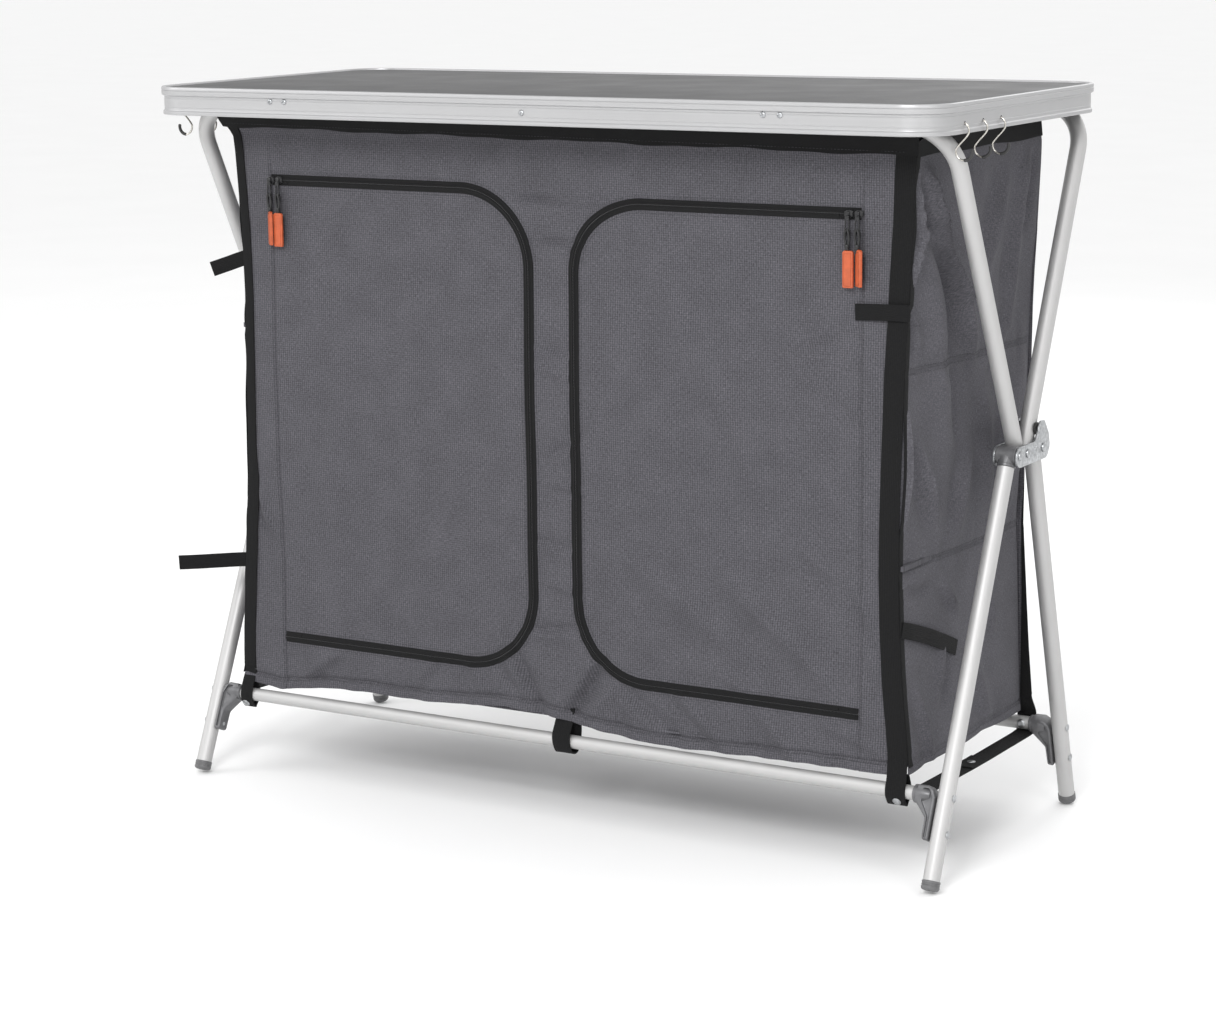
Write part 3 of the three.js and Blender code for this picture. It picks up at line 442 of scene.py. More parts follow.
class Look(Graph):
    """A procedural finish: a Principled shader and what feeds it."""

    def __init__(self, name, color, roughness, metallic=0.0, uv=False, **constants):
        self.material = bpy.data.materials.new(name)
        self.material.use_nodes = True
        super().__init__(self.material.node_tree)
        self.shader = self.tree.nodes["Principled BSDF"]
        self.shader.inputs["Base Color"].default_value = (*color, 1)
        self.shader.inputs["Roughness"].default_value = roughness
        self.shader.inputs["Metallic"].default_value = metallic
        for socket, value in constants.items():
            self.shader.inputs[socket.replace("_", " ")].default_value = value
        if uv:
            self.place = self.node("ShaderNodeUVMap", uv_map="Weave").outputs["UV"]
        else:
            self.place = self.node("ShaderNodeTexCoord").outputs["Object"]
        self.normal = None

    def stretched(self, scale):
        return self.node("ShaderNodeMapping", {"Vector": self.place, "Scale": scale}).outputs["Vector"]

    def grain(self, scale, detail=3.0, stretch=(1, 1, 1), rough=0.55):
        made = self.node("ShaderNodeTexNoise", {
            "Vector": self.stretched(stretch), "Scale": scale, "Detail": detail, "Roughness": rough})
        return made.outputs["Fac"]

    def threads(self, direction, pitch):
        """Even waves, one for each thread."""
        made = self.node("ShaderNodeTexWave", {
            "Vector": self.place, "Scale": math.pi / (10 * pitch * MM), "Distortion": 0.6,
            "Detail": 1.0, "Detail Scale": 0.6}, bands_direction=direction)
        return made.outputs["Fac"]

    def ranged(self, value, low, high, from_low=0.3, from_high=0.7):
        made = self.node("ShaderNodeMapRange", {
            "Value": value, "From Min": from_low, "From Max": from_high, "To Min": low, "To Max": high})
        return made.outputs["Result"]

    def sum(self, first, second, operation="ADD"):
        made = self.node("ShaderNodeMath", {0: first, 1: second}, operation=operation)
        return made.outputs["Value"]

    def tinted(self, value, stops):
        """A colour from a value, by (place, colour) stops."""
        made = self.node("ShaderNodeValToRGB", {"Fac": value})
        ramp = made.color_ramp
        while len(ramp.elements) < len(stops):
            ramp.elements.new(0.5)
        for element, (place, color) in zip(ramp.elements, stops):
            element.position = place
            element.color = (*color, 1)
        return made.outputs["Color"]

    def colored(self, value):
        self.feed(self.shader.inputs["Base Color"], value)

    def roughened(self, value):
        self.feed(self.shader.inputs["Roughness"], value)

    def bumped(self, height, depth, strength=1.0):
        """Relief of the given depth in millimetres."""
        inputs = {"Height": height, "Distance": depth * MM, "Strength": strength}
        if self.normal is not None:
            inputs["Normal"] = self.normal
        self.normal = self.node("ShaderNodeBump", inputs).outputs["Normal"]
        self.feed(self.shader.inputs["Normal"], self.normal)


def shade(color, factor):
    return tuple(channel * factor for channel in color)


def mottled_look(name, color, roughness, metallic, tint, rough, relief=None, **constants):
    """A finish whose colour and roughness are mottled, with a fine relief.

    tint holds the grain's scale, its detail and its colour stops. rough holds the scale, the detail, and the
    lowest and the highest roughness. relief holds the scale, the detail, the depth and the strength.
    """
    look = Look(name, color, roughness, metallic, **constants)
    scale, detail, stops = tint
    stops = [(place, shade(color, factor)) for place, factor in stops]
    look.colored(look.tinted(look.grain(scale, detail), stops))
    scale, detail, low, high = rough
    look.roughened(look.ranged(look.grain(scale, detail), low, high))
    if relief:
        scale, detail, depth, strength = relief
        look.bumped(look.grain(scale, detail), depth, strength)
    return look.material


def plastic_look(name, color, roughness):
    return mottled_look(name, color, roughness, 0.0, (200.0, 3.0, [(0.35, 0.85), (0.65, 1.12)]),
                        (120.0, 3.0, roughness - 0.06, roughness + 0.08), (1600.0, 2.0, 0.04, 0.7))


def drawn_rim_look():
    color = (0.415, 0.415, 0.42)
    look = Look("satin_rim_metal", color, 0.42, 0.55, Specular_IOR_Level=0.4)
    lines = look.grain(1.0, 3.0, (3, 3, 2600))
    look.colored(look.tinted(lines, [(0.3, shade(color, 0.93)), (0.7, color)]))
    look.roughened(look.ranged(look.sum(look.grain(9.0, 4.0), lines, "MULTIPLY"), 0.37, 0.5, 0.12, 0.4))
    look.bumped(lines, 0.02, 0.6)
    return look.material


def tube_look():
    color = (0.475, 0.472, 0.47)
    look = Look("satin_tube_metal", color, 0.5, 0.5, uv=True, Specular_IOR_Level=0.4)
    lines = look.grain(1.0, 3.0, (6, 1500, 1))
    cloud = look.grain(16.0, 4.0)
    look.colored(look.tinted(cloud, [(0.35, shade(color, 0.94)), (0.62, color)]))
    look.roughened(look.ranged(look.sum(cloud, lines, "MULTIPLY"), 0.46, 0.6, 0.12, 0.4))
    look.bumped(lines, 0.02, 0.5)
    return look.material


def cloth_look(name, thread_share, lightness):
    """Charcoal heather: lighter and darker threads both ways, in lines as strong as thread_share. lightness
    scales the whole colour; above 1 it is painted light.
    """
    color = shade((0.067, 0.0655, 0.0735), lightness)
    line_range = 0.13 * thread_share
    row_range = 0.08 * thread_share
    look = Look(name, color, 0.92, uv=True, Sheen_Weight=0.03, Sheen_Roughness=0.5,
                Specular_IOR_Level=0.12)
    warp = look.grain(1.0, 2.0, (1250, 260, 1), 0.7)
    weft = look.grain(1.0, 2.0, (260, 1250, 1), 0.7)
    cloud = look.grain(26.0, 4.0)
    upright = look.ranged(look.threads("X", 2.9), -line_range, line_range, 0.0, 1.0)
    level = look.ranged(look.threads("Y", 2.6), -row_range, row_range, 0.0, 1.0)
    mix = look.sum(look.sum(warp, weft), look.sum(look.sum(upright, level), look.ranged(cloud, -0.05, 0.05)))
    look.colored(look.tinted(look.ranged(mix, 0.0, 1.0, 0.62, 1.38), [
        (0.0, shade(color, 0.52)), (0.45, shade(color, 0.95)), (0.7, shade(color, 1.25)),
        (1.0, shade(color, 1.9))]))
    look.bumped(look.sum(warp, weft), 0.12, 0.6)
    look.bumped(cloud, 0.5, 0.25)
    return look.material


def webbing_look(name, color, pitch, relief):
    """Black woven band: ribs across it and a fine line along it."""
    look = Look(name, color, 0.85, uv=True, Sheen_Weight=0.02, Specular_IOR_Level=0.18)
    ribs = look.threads("X", pitch)
    lines = look.threads("Y", pitch * 1.6)
    fuzz = look.grain(1.0, 3.0, (900, 420, 1), 0.6)
    look.colored(look.tinted(look.sum(ribs, fuzz, "MULTIPLY"), [
        (0.0, shade(color, 0.6)), (0.35, color), (0.75, shade(color, 1.9))]))
    look.bumped(look.sum(ribs, lines), relief, 0.8)
    look.bumped(fuzz, 0.1, 0.5)
    return look.material


def stage_look(name, color):
    look = Look(name, color, 0.7)
    look.colored(look.tinted(look.grain(3.0, 2.0), [(0.3, shade(color, 0.985)), (0.7, color)]))
    return look.material


black = (0.0066, 0.0066, 0.007)
looks = {
    "laminate": mottled_look(
        "grey_laminate", (0.085, 0.085, 0.0865), 0.58, 0.0,
        (900.0, 4.0, [(0.36, 0.86), (0.5, 1.0), (0.66, 1.2)]), (14.0, 4.0, 0.54, 0.66),
        (1500.0, 2.0, 0.05, 0.5), Specular_IOR_Level=0.22),
    "rim": drawn_rim_look(),
    "tube": tube_look(),
    "zinc": mottled_look(
        "zinc_plate", (0.40, 0.41, 0.42), 0.36, 0.9, (260.0, 2.0, [(0.34, 0.8), (0.5, 1.0), (0.68, 1.25)]),
        (90.0, 3.0, 0.28, 0.46), (700.0, 2.0, 0.03, 0.5)),
    "casting": mottled_look(
        "grey_casting", (0.125, 0.125, 0.13), 0.38, 0.4, (60.0, 4.0, [(0.35, 0.85), (0.65, 1.15)]),
        (150.0, 3.0, 0.34, 0.52), (1300.0, 2.0, 0.06, 0.8)),
    "cap": plastic_look("grey_cap_plastic", (0.115, 0.115, 0.118), 0.5),
    "rubber": plastic_look("black_rubber", (0.022, 0.022, 0.022), 0.5),
    "slider": plastic_look("black_zip_metal", (0.012, 0.012, 0.013), 0.28),
    "coil": plastic_look("black_zip_coil", (0.034, 0.034, 0.036), 0.4),
    "cord": plastic_look("black_cord", (0.008, 0.008, 0.0085), 0.5),
    "thread": plastic_look("dark_thread", (0.026, 0.026, 0.03), 0.8),
    "wire": mottled_look(
        "bright_wire", (0.55, 0.53, 0.49), 0.22, 1.0, (300.0, 2.0, [(0.4, 0.85), (0.6, 1.0)]),
        (400.0, 2.0, 0.16, 0.3)),
    "cloth": cloth_look("heather_cloth", 1.0, 1.0),
    # The sides' copy of the cloth is painted lighter, standing in for the light that falls on them: painted
    # light.
    "side_cloth": cloth_look("heather_side_cloth", 0.15, 1.14),
    "webbing": webbing_look("black_webbing", black, 1.3, 0.25),
    "band": webbing_look("black_band_cloth", shade(black, 0.85), 0.9, 0.12),
    "tape": webbing_look("black_zip_tape", shade(black, 1.15), 0.8, 0.12),
    "tag": mottled_look(
        "orange_tag", (0.42, 0.08, 0.024), 0.5, 0.0, (140.0, 3.0, [(0.35, 0.88), (0.65, 1.08)]),
        (90.0, 3.0, 0.42, 0.58), (1500.0, 2.0, 0.05, 0.7)),
}


# Trees for what repeats

def new_tree(name, sizes):
    """A geometry tree with a named input for each size and one for the finish."""
    tree = bpy.data.node_groups.new(name, "GeometryNodeTree")
    tree.interface.new_socket("Geometry", in_out="INPUT", socket_type="NodeSocketGeometry")
    for label, size in sizes.items():
        socket = tree.interface.new_socket(label, in_out="INPUT", socket_type="NodeSocketFloat")
        socket.default_value = size * MM
    tree.interface.new_socket("Finish", in_out="INPUT", socket_type="NodeSocketMaterial")
    tree.interface.new_socket("Geometry", in_out="OUTPUT", socket_type="NodeSocketGeometry")
    graph = Graph(tree)
    graph.sizes = graph.node("NodeGroupInput").outputs
    return graph


def close_tree(graph, instances):
    """Instances made real, smooth and finished."""
    real = graph.node("GeometryNodeRealizeInstances", {"Geometry": instances})
    soft = graph.node("GeometryNodeSetShadeSmooth", {"Geometry": real.outputs["Geometry"]})
    done = graph.node("GeometryNodeSetMaterial", {
        "Geometry": soft.outputs["Geometry"], "Material": graph.sizes["Finish"]})
    graph.node("NodeGroupOutput", {"Geometry": done.outputs["Geometry"]})
    return graph.tree


def along_row(graph):
    """Points at an even spacing along the base's edges, and the rotation that lies along each."""
    line = graph.node("GeometryNodeMeshToCurve", {"Mesh": graph.sizes["Geometry"]})
    row = graph.node("GeometryNodeResampleCurve", {
        "Curve": line.outputs["Curve"], "Length": graph.sizes["Spacing"]}, mode="LENGTH")
    tangent = graph.node("GeometryNodeInputTangent")
    aim = graph.node("FunctionNodeAlignRotationToVector", {"Vector": tangent.outputs["Tangent"]}, axis="X")
    return row.outputs["Curve"], aim.outputs["Rotation"]


def bead(graph, halves, segments, rings):
    """A bead from the names of its three half sizes."""
    ball = graph.node("GeometryNodeMeshUVSphere", {"Segments": segments, "Rings": rings, "Radius": 1.0})
    size = graph.node("ShaderNodeCombineXYZ", {axis: graph.sizes[half] for axis, half in zip("XYZ", halves)})
    made = graph.node("GeometryNodeTransform", {
        "Geometry": ball.outputs["Mesh"], "Scale": size.outputs["Vector"]})
    return made.outputs["Geometry"]


def stitch_tree():
    graph = new_tree("stitch_row", {"Spacing": 4.2, "Half Length": 1.5, "Half Thickness": 0.32})
    points, rotation = along_row(graph)
    stitch = bead(graph, ("Half Length", "Half Thickness", "Half Thickness"), 6, 4)
    rows = graph.node("GeometryNodeInstanceOnPoints", {
        "Points": points, "Instance": stitch, "Rotation": rotation})
    return close_tree(graph, rows.outputs["Instances"])


def coil_tree():
    graph = new_tree("zip_coil", {
        "Spacing": 1.7, "Half Length": 0.62, "Half Width": 2.3, "Half Thickness": 0.75})
    points, rotation = along_row(graph)
    level = graph.node("FunctionNodeAlignRotationToVector", {
        "Rotation": rotation, "Vector": (0, -1, 0)}, axis="Z", pivot_axis="X")
    tooth = bead(graph, ("Half Length", "Half Width", "Half Thickness"), 6, 5)
    rows = graph.node("GeometryNodeInstanceOnPoints", {
        "Points": points, "Instance": tooth, "Rotation": level.outputs["Rotation"]})
    return close_tree(graph, rows.outputs["Instances"])


def rivet_tree():
    """A domed head on a flat flange at each point, facing along the point's aim."""
    graph = new_tree("rivet_heads", {
        "Head Radius": 3.6, "Head Height": 1.5, "Flange Radius": 4.4, "Flange Height": 0.8})
    dome = bead(graph, ("Head Radius", "Head Radius", "Head Height"), 20, 12)
    disc = graph.node("GeometryNodeMeshCylinder", {
        "Vertices": 24, "Radius": graph.sizes["Flange Radius"], "Depth": graph.sizes["Flange Height"]})
    both = graph.node("GeometryNodeJoinGeometry")
    for part in (dome, disc.outputs["Mesh"]):
        graph.tree.links.new(part, both.inputs["Geometry"])
    aim = graph.node("GeometryNodeInputNamedAttribute", {"Name": "aim"}, data_type="FLOAT_VECTOR")
    turn = graph.node("FunctionNodeAlignRotationToVector", {"Vector": aim.outputs["Attribute"]}, axis="Z")
    points = graph.node("GeometryNodeMeshToPoints", {"Mesh": graph.sizes["Geometry"]})
    heads = graph.node("GeometryNodeInstanceOnPoints", {
        "Points": points.outputs["Points"], "Instance": both.outputs["Geometry"],
        "Rotation": turn.outputs["Rotation"]})
    return close_tree(graph, heads.outputs["Instances"])


trees = {"stitch": stitch_tree(), "coil": coil_tree(), "rivet": rivet_tree()}


def grown(base, tree, look, **sizes):
    """The base object's tree turned into a plain mesh."""
    modifier = base.modifiers.new("grow", "NODES")
    modifier.node_group = tree
    for item in tree.interface.items_tree:
        if item.item_type != "SOCKET" or item.in_out != "INPUT":
            continue
        key = item.name.replace(" ", "_").lower()
        if key in sizes:
            modifier[item.identifier] = sizes[key] * MM
        elif item.name == "Finish":
            modifier[item.identifier] = look
    base.data.update()
    bpy.context.view_layer.update()
    return applied(base)


def rows_base(name, rows):
    """One mesh of edges along several rows of points."""
    points = []
    edges = []
    for row in rows:
        start = len(points)
        points += [tuple(np.asarray(point) * MM) for point in row]
        edges += [(start + i, start + i + 1) for i in range(len(row) - 1)]
    mesh = bpy.data.meshes.new(name)
    mesh.from_pydata(points, edges, [])
    return in_scene(name, mesh)


def stitches(name, rows, body):
    made = grown(rows_base(name, rows), trees["stitch"], looks["thread"])
    return settled(made, body, "webbing")


def rivets(name, places, body, **sizes):
    """Rivet heads from (point, direction) pairs."""
    mesh = bpy.data.meshes.new(name)
    mesh.from_pydata([tuple(np.asarray(point) * MM) for point, _ in places], [], [])
    aim = mesh.attributes.new("aim", "FLOAT_VECTOR", "POINT")
    directions = np.array([unit(direction) for _, direction in places], np.float32)
    aim.data.foreach_set("vector", directions.ravel())
    made = grown(in_scene(name, mesh), trees["rivet"], looks["zinc"], **sizes)
    return settled(made, body, "zinc")


# Camera, lights and floor

camera_place = (1803.7, -3050.9, 1047.5)
camera_yaw = math.radians(30.850)
camera_pitch = math.radians(11.139)
camera_roll = math.radians(-0.700)
camera_lens = 89.44
camera_sensor = 36.0
floor_reach = 70000.0
lights_aim = (0, 0, 0.45)
# Each light's place and its two sizes in metres, and its power in watts
lights = {
    "key": ((0.9, -3.4, 2.5), (1.3, 1.1), 84),
    "side": ((-2.9, -2.0, 1.9), (1.6, 1.6), 28),
    "fill": ((3.1, -2.0, 1.9), (1.5, 1.5), 17),
    "back": ((0.4, 3.2, 2.6), (3.0, 2.0), 34),
}


def set_camera():
    forward = Vector((-math.sin(camera_yaw) * math.cos(camera_pitch),
                      math.cos(camera_yaw) * math.cos(camera_pitch), -math.sin(camera_pitch)))
    right = Vector((math.cos(camera_yaw), math.sin(camera_yaw), 0))
    up = right.cross(forward)
    tilted_right = math.cos(camera_roll) * right + math.sin(camera_roll) * up
    tilted_up = math.cos(camera_roll) * up - math.sin(camera_roll) * right
    data = bpy.data.cameras.new("camera")
    data.lens = camera_lens
    data.sensor_width = camera_sensor
    data.clip_end = 200.0
    camera = in_scene("camera", data)
    axes = Matrix((tilted_right, tilted_up, -forward)).transposed().to_4x4()
    camera.matrix_world = Matrix.Translation(Vector(camera_place) * MM) @ axes
    bpy.context.scene.camera = camera


def add_light(name, place, size, power):
    data = bpy.data.lights.new(name, "AREA")
    data.shape = "RECTANGLE"
    data.size, data.size_y = size
    data.energy = power
    light = in_scene(name, data)
    light.location = place
    light.rotation_euler = (Vector(lights_aim) - Vector(place)).to_track_quat("-Z", "Y").to_euler()


def set_stage():
    world = bpy.data.worlds.new("pale_studio")
    world.use_nodes = True
    backdrop = world.node_tree.nodes["Background"]
    backdrop.inputs["Color"].default_value = (1.0, 1.0, 1.0, 1)
    backdrop.inputs["Strength"].default_value = 1.0
    bpy.context.scene.world = world
    bpy.context.scene.view_settings.view_transform = "Standard"
    corners = [(x * floor_reach, y * floor_reach, 0) for x, y in ((-1, -1), (1, -1), (1, 1), (-1, 1))]
    floor = mesh_object("floor", corners, [(0, 1, 2, 3)], stage_look("pale_floor", (0.93, 0.93, 0.93)),
                        outward=False)
    for name, (place, size, power) in lights.items():
        add_light(name, place, size, power)


set_camera()
set_stage()


# Worktop

corner_radius = 50.0
rim_crisp = 28.0
# The rim's section from its foot up and round: distance out from the rim's outer face, and height
rim_section = [
    (-5.0, 817.6), (-4.4, 817.0), (-2.1, 817.0), (-1.5, 817.6), (-1.4, 819.4), (-1.5, 821.0), (-2.1, 821.8),
    (-2.8, 822.3), (-3.0, 823.2), (-3.0, 825.4), (-3.25, 825.8), (-3.0, 826.2), (-3.0, 836.2), (-3.3, 836.7),
    (-3.0, 837.2), (-3.0, 838.4), (-2.6, 839.2), (-1.2, 839.6), (-0.3, 840.2), (0.0, 841.2), (0.0, 845.2),
    (-0.45, 845.7), (0.0, 846.2), (0.0, 848.5), (-0.35, 849.4), (-1.2, 850.0), (-3.8, 850.0), (-4.7, 849.7),
    (-5.0, 849.0), (-5.0, 842.7), (-17.0, 842.7), (-17.0, 840.9), (-5.0, 840.9)]


def round_top(section, steps=18):
    """Rings of a section carried round the worktop's edge."""
    rings = []
    for corner in range(4):
        middle = (corner + 0.5) * math.pi / 2
        centre_x = math.copysign(rim_high[0] - corner_radius, math.cos(middle))
        centre_y = math.copysign(rim_high[1] - corner_radius, math.sin(middle))
        for step in range(steps + 1):
            angle = (corner + step / steps) * math.pi / 2
            out_x, out_y = math.cos(angle), math.sin(angle)
            rings.append([(centre_x + (corner_radius + out) * out_x, centre_y + (corner_radius + out) * out_y,
                           height) for out, height in section])
    return rings


hook_z = rim_low[2] + 11.0
hook_x = rim_high[0] - 4.0
hook_names = ("front", "middle", "rear")
hook_ys = [joint_place(f"hook_right_{name}_swing")[1] for name in hook_names]
hook_hole_radius = 2.1


def make_rim():
    rim = loft("rim", round_top(rim_section), looks["rim"], closed_path=True, crisp=rim_crisp)
    drills = []
    for _, side in HANDS:
        for y in hook_ys:
            start = (side * (hook_x - 6), y, hook_z)
            bore = [(0, hook_hole_radius), (12, hook_hole_radius)]
            drills.append(turned("drill", bore, looks["rim"], start, (side, 0, 0), sides=16))
    rim = combined(rim, drills, "DIFFERENCE")
    smooth_over(rim.data, rim_crisp)
    settled(rim, "worktop", "rim_metal", "worktop_rim")


def make_board():
    low, high = board_low[2], board_high[2]
    edge = round_top([(-5.3, low), (-5.3, high - 0.5), (-5.5, high - 0.15), (-5.9, high)])
    rings = [[ring[k] for ring in edge] for k in range(4)]
    board = loft("board", rings, looks["laminate"], crisp=50.0)
    settled(board, "worktop", "laminate", "worktop_board")


# Where the rim's screws sit: two pairs, and one by the middle at its x and height
pair_x = 322.0
pair_half_pitch = 10.0
pair_z = 836.0
middle_screw = (12.0, 831.0)
# How far the rim's web lies back from its outer face, and how far the heads sink into it
rim_web = 3.0
screw_sunk = 0.5
# A screw head's outline: distance out from its foot, and radius
screw_profile = [(0, 3.4), (1.0, 3.4), (1.6, 3.0), (2.1, 2.2), (2.3, 1.0), (2.35, 0)]
slot_half_length, slot_half_width = 2.1, 0.4
slot_depths = (1.3, 3.0)


def make_screws():
    """Pan heads in the front and rear rims, each with a cross cut in it."""
    head_foot_y = rim_high[1] - rim_web - screw_sunk
    heads = []
    places = [(sign * pair_x + shift * pair_half_pitch, pair_z) for sign in (-1, 1) for shift in (-1, 1)]
    places.append(middle_screw)
    for facing in (-1, 1):
        for x, z in places:
            start = (x, facing * head_foot_y, z)
            head = turned("head", screw_profile, looks["zinc"], start, (0, facing, 0), sides=24)
            slots = []
            for turn in (0.4, 0.4 + math.pi / 2):
                along = np.array([math.cos(turn), 0, math.sin(turn)])
                up = np.array([-math.sin(turn), 0, math.cos(turn)])
                corners = []
                for depth in slot_depths:
                    middle = np.array([x, facing * (head_foot_y + depth), z])
                    corners.append([middle + a * along * slot_half_length + b * up * slot_half_width
                                    for a, b in ((-1, -1), (1, -1), (1, 1), (-1, 1))])
                slots.append(loft("slot", corners, looks["rubber"]))
            heads.append(combined(head, slots, "DIFFERENCE"))
    settled(merged("rim_screws", heads), "worktop", "zinc")


# An S-hook's way in its own plane: distance out from the hole and height above it
hook_route = [(-7.0, 1.1), (-3.4, 0.3), (0.0, 0.0), (3.2, -2.0), (5.5, -6.2), (5.2, -10.8), (1.4, -16.0),
              (-3.9, -21.4)]
hook_bend_radius = 9.4
hook_bend_middle = (0.6, -29.6)
wire_radius = 1.1
# How much thicker than the wire the rubber sleeve is: at its start, along it and at its end
sleeve_walls = (0.45, 0.75, 0.2)
sleeve_points = 8


def make_hooks():
    bend = arc(hook_bend_radius, hook_bend_middle, range(165, 376, 15))
    for hand, side in HANDS:
        for name, y in zip(hook_names, hook_ys):
            points = [(side * (hook_x + out), y, hook_z + up) for out, up in hook_route + bend]
            route = smooth_route(points, 4)
            radii = np.full(len(route), wire_radius)
            radii[0] = radii[-1] = wire_radius * 0.6
            wire = loft("wire", round_rings(route, radii, (0, 1, 0), 12), looks["wire"])
            covered = smooth_route(points[-sleeve_points:], 4)
            sleeve_radii = np.full(len(covered), wire_radius + sleeve_walls[1])
            sleeve_radii[0] = wire_radius + sleeve_walls[0]
            sleeve_radii[-1] = wire_radius + sleeve_walls[2]
            sleeve = loft("sleeve", round_rings(covered, sleeve_radii, (0, 1, 0), 12), looks["rubber"])
            hook = merged(f"s_hook_{hand}_{name}", [wire, sleeve])
            settled(hook, f"s_hook_{hand}_{name}", "wire_steel", f"hook_{hand}_{name}")


make_rim()
make_board()
make_screws()
make_hooks()


# Tube stand

# How far an upper frame's tubes run on past their pivots
frame_end_reach = 5.0


def upper_frame_route(pivot_y, crossbar_y):
    """Up one side, across under the board and down the other."""
    foot = np.array([0, pivot_y, pivot_z])
    rise = np.array([0, crossbar_y - pivot_y, crossbar_z - pivot_z])
    reach = np.linalg.norm(rise)
    rise = rise / reach
    route = []
    bend_x = tube_x - frame_bend
    for up in np.linspace(-frame_end_reach, reach - frame_bend - 4.0, 8):
        route.append(foot + rise * up + np.array([-tube_x, 0, 0]))
    for angle in np.linspace(math.pi, math.pi / 2, 17):
        route.append(foot + rise * (reach - frame_bend + frame_bend * math.sin(angle))
                     + np.array([-bend_x + frame_bend * math.cos(angle), 0, 0]))
    for share in np.linspace(0.1, 0.5, 5):
        route.append(foot + rise * reach + np.array([-bend_x + 2 * bend_x * share, 0, 0]))
    other = [point * np.array([-1, 1, 1]) for point in route[:-1]]
    return np.array(route + other[::-1]), np.cross(rise, (1, 0, 0))


def make_upper_frames():
    for name, body, pivot_y, crossbar_y in (
            ("front", "front_frame", front_frame_pivot[1], front_crossbar_y),
            ("rear", "rear_frame", rear_frame_y, rear_crossbar_y)):
        route, reference = upper_frame_route(pivot_y, crossbar_y)
        made = tube(f"{name}_top_tube", route, tube_radius, looks["tube"], reference, tube_wall, 40)
        settled(made, body, "tube_metal", f"{name}_upper_frame")


def leg_line(pivot, foot):
    """The leg's pivot, its direction down to the foot and its length."""
    start = np.array([0, pivot, pivot_z])
    run = np.array([0, foot - pivot, -pivot_z])
    length = np.linalg.norm(run)
    return start, run / length, length


def make_foot_cap(name, start, along, length):
    """A ribbed plug over the tube's end, square to the leg, with the low side of its rim on the floor."""
    outer = tube_radius + 0.8
    tilt = math.asin(math.hypot(along[0], along[1]))
    end = start + along * (length - outer * math.sin(tilt) / -along[2] * 0.93)
    profile = [(0.0, 0.0), (0.0, 4.0), (0.5, outer - 2.6), (1.3, outer - 1.1), (2.4, outer - 0.3),
               (3.8, outer)]
    for rib in range(2):
        low = 5.0 + rib * 2.4
        profile += [(low, outer), (low + 0.3, outer - 0.45), (low + 1.0, outer - 0.45), (low + 1.3, outer)]
    profile += [(10.6, outer), (11.2, outer - 0.6), (11.2, tube_radius + 0.05)]
    return turned(name, profile, looks["cap"], end, -along, (1, 0, 0), sides=36, crisp=50.0)


def make_leg_sleeve(name, start, along):
    """A cast barrel between the plates with a collar down the leg."""
    barrel_half = plate_gap - 0.4
    outer = tube_radius + 0.7
    edge = 0.8
    barrel_profile = [(-barrel_half, outer - edge), (-barrel_half + edge, outer), (barrel_half - edge, outer),
                      (barrel_half, outer - edge)]
    barrel = turned(name, barrel_profile, looks["casting"], start, (1, 0, 0), sides=40)
    collar_profile = [(0.0, outer - 0.2), (10.5, outer - 0.2), (11.0, outer + 0.4), (13.4, outer + 0.4),
                      (14.0, outer - 0.4)]
    collar = turned("collar", collar_profile, looks["casting"], start, along, (1, 0, 0), sides=40)
    return combined(barrel, [collar])


# Sizes of the cast corner brackets
bracket_gap = 0.4
bracket_reach = 27.0
bracket_width = 17.0
pocket_middle = 8.4
pocket_thickness = 5.0
socket_wall = 2.0
# How far the bar's end stops short of the leg, inside its bracket's socket
bar_end_gap = 16.8
# How far down the leg from the bar the rivets sit: the outer ones, and the one on the bracket's inner face
outer_rivet_drops = (0.0, 40.0)
inner_rivet_drop = 42.0
bracket_face_reach = 7.0
# How far the leg's tube is cut back at its pivot and inside its foot cap
leg_top_cut = 14.3
leg_foot_cut = 9.5


def bracket_body(name, side, bar, along):
    """A cast elbow: a socket over the bar's end, a curved back and a plate down the leg, with sunk faces."""
    face = tube_x - tube_radius - bracket_gap
    inner = face - bracket_reach
    socket = bar_radius + socket_wall
    bar_middle = np.array([0, bar[1], bar[2]])
    out = (side, 0, 0)
    up_leg = tuple(-along)
    outline = [
        (inner + 3.0, -socket + 0.6, 0), (inner + 5.5, -socket - 0.4, 1.5), (face - 8.2, -25.5, 6),
        (face - 7.5, -49.8, 3), (face, -49.8, 1), (face, -2.0, 1), (face - 3.0, 6.0, 6),
        (face - 9.0, socket, 5), (inner + 5.0, socket - 0.3, 0)]
    place_at = placed(bar_middle, out, up_leg)
    shell = flat_plate(name, [filleted(outline)], bracket_width, 2.0, place_at, looks["casting"])
    pocket_outline = [
        (inner + 12.0, -socket + 1.6, 1.5), (face - 5.6, -24.0, 5), (face - 5.4, -46.5, 1.2),
        (face - 2.4, -46.5, 1.2), (face - 2.4, -4.0, 1.5), (face - 7.5, socket - 3.4, 2),
        (inner + 12.0, socket - 3.4, 1)]
    pockets = []
    normal = np.cross(out, up_leg)
    for sign in (-1, 1):
        place_at = placed(bar_middle + normal * sign * pocket_middle, out, up_leg)
        pockets.append(flat_plate("pocket", [filleted(pocket_outline)], pocket_thickness, 0.3, place_at,
                                  looks["casting"]))
    shell = combined(shell, pockets, "DIFFERENCE")
    socket_profile = [(0, socket - 0.8), (0.8, socket + 0.2), (3.0, socket + 0.2), (3.5, socket - 0.3),
                      (13.0, socket - 0.3), (20.0, socket - 2.5)]
    start = (side * inner, bar[1], bar[2])
    sleeve = turned("socket", socket_profile, looks["casting"], start, out, sides=40)
    return combined(shell, [sleeve])


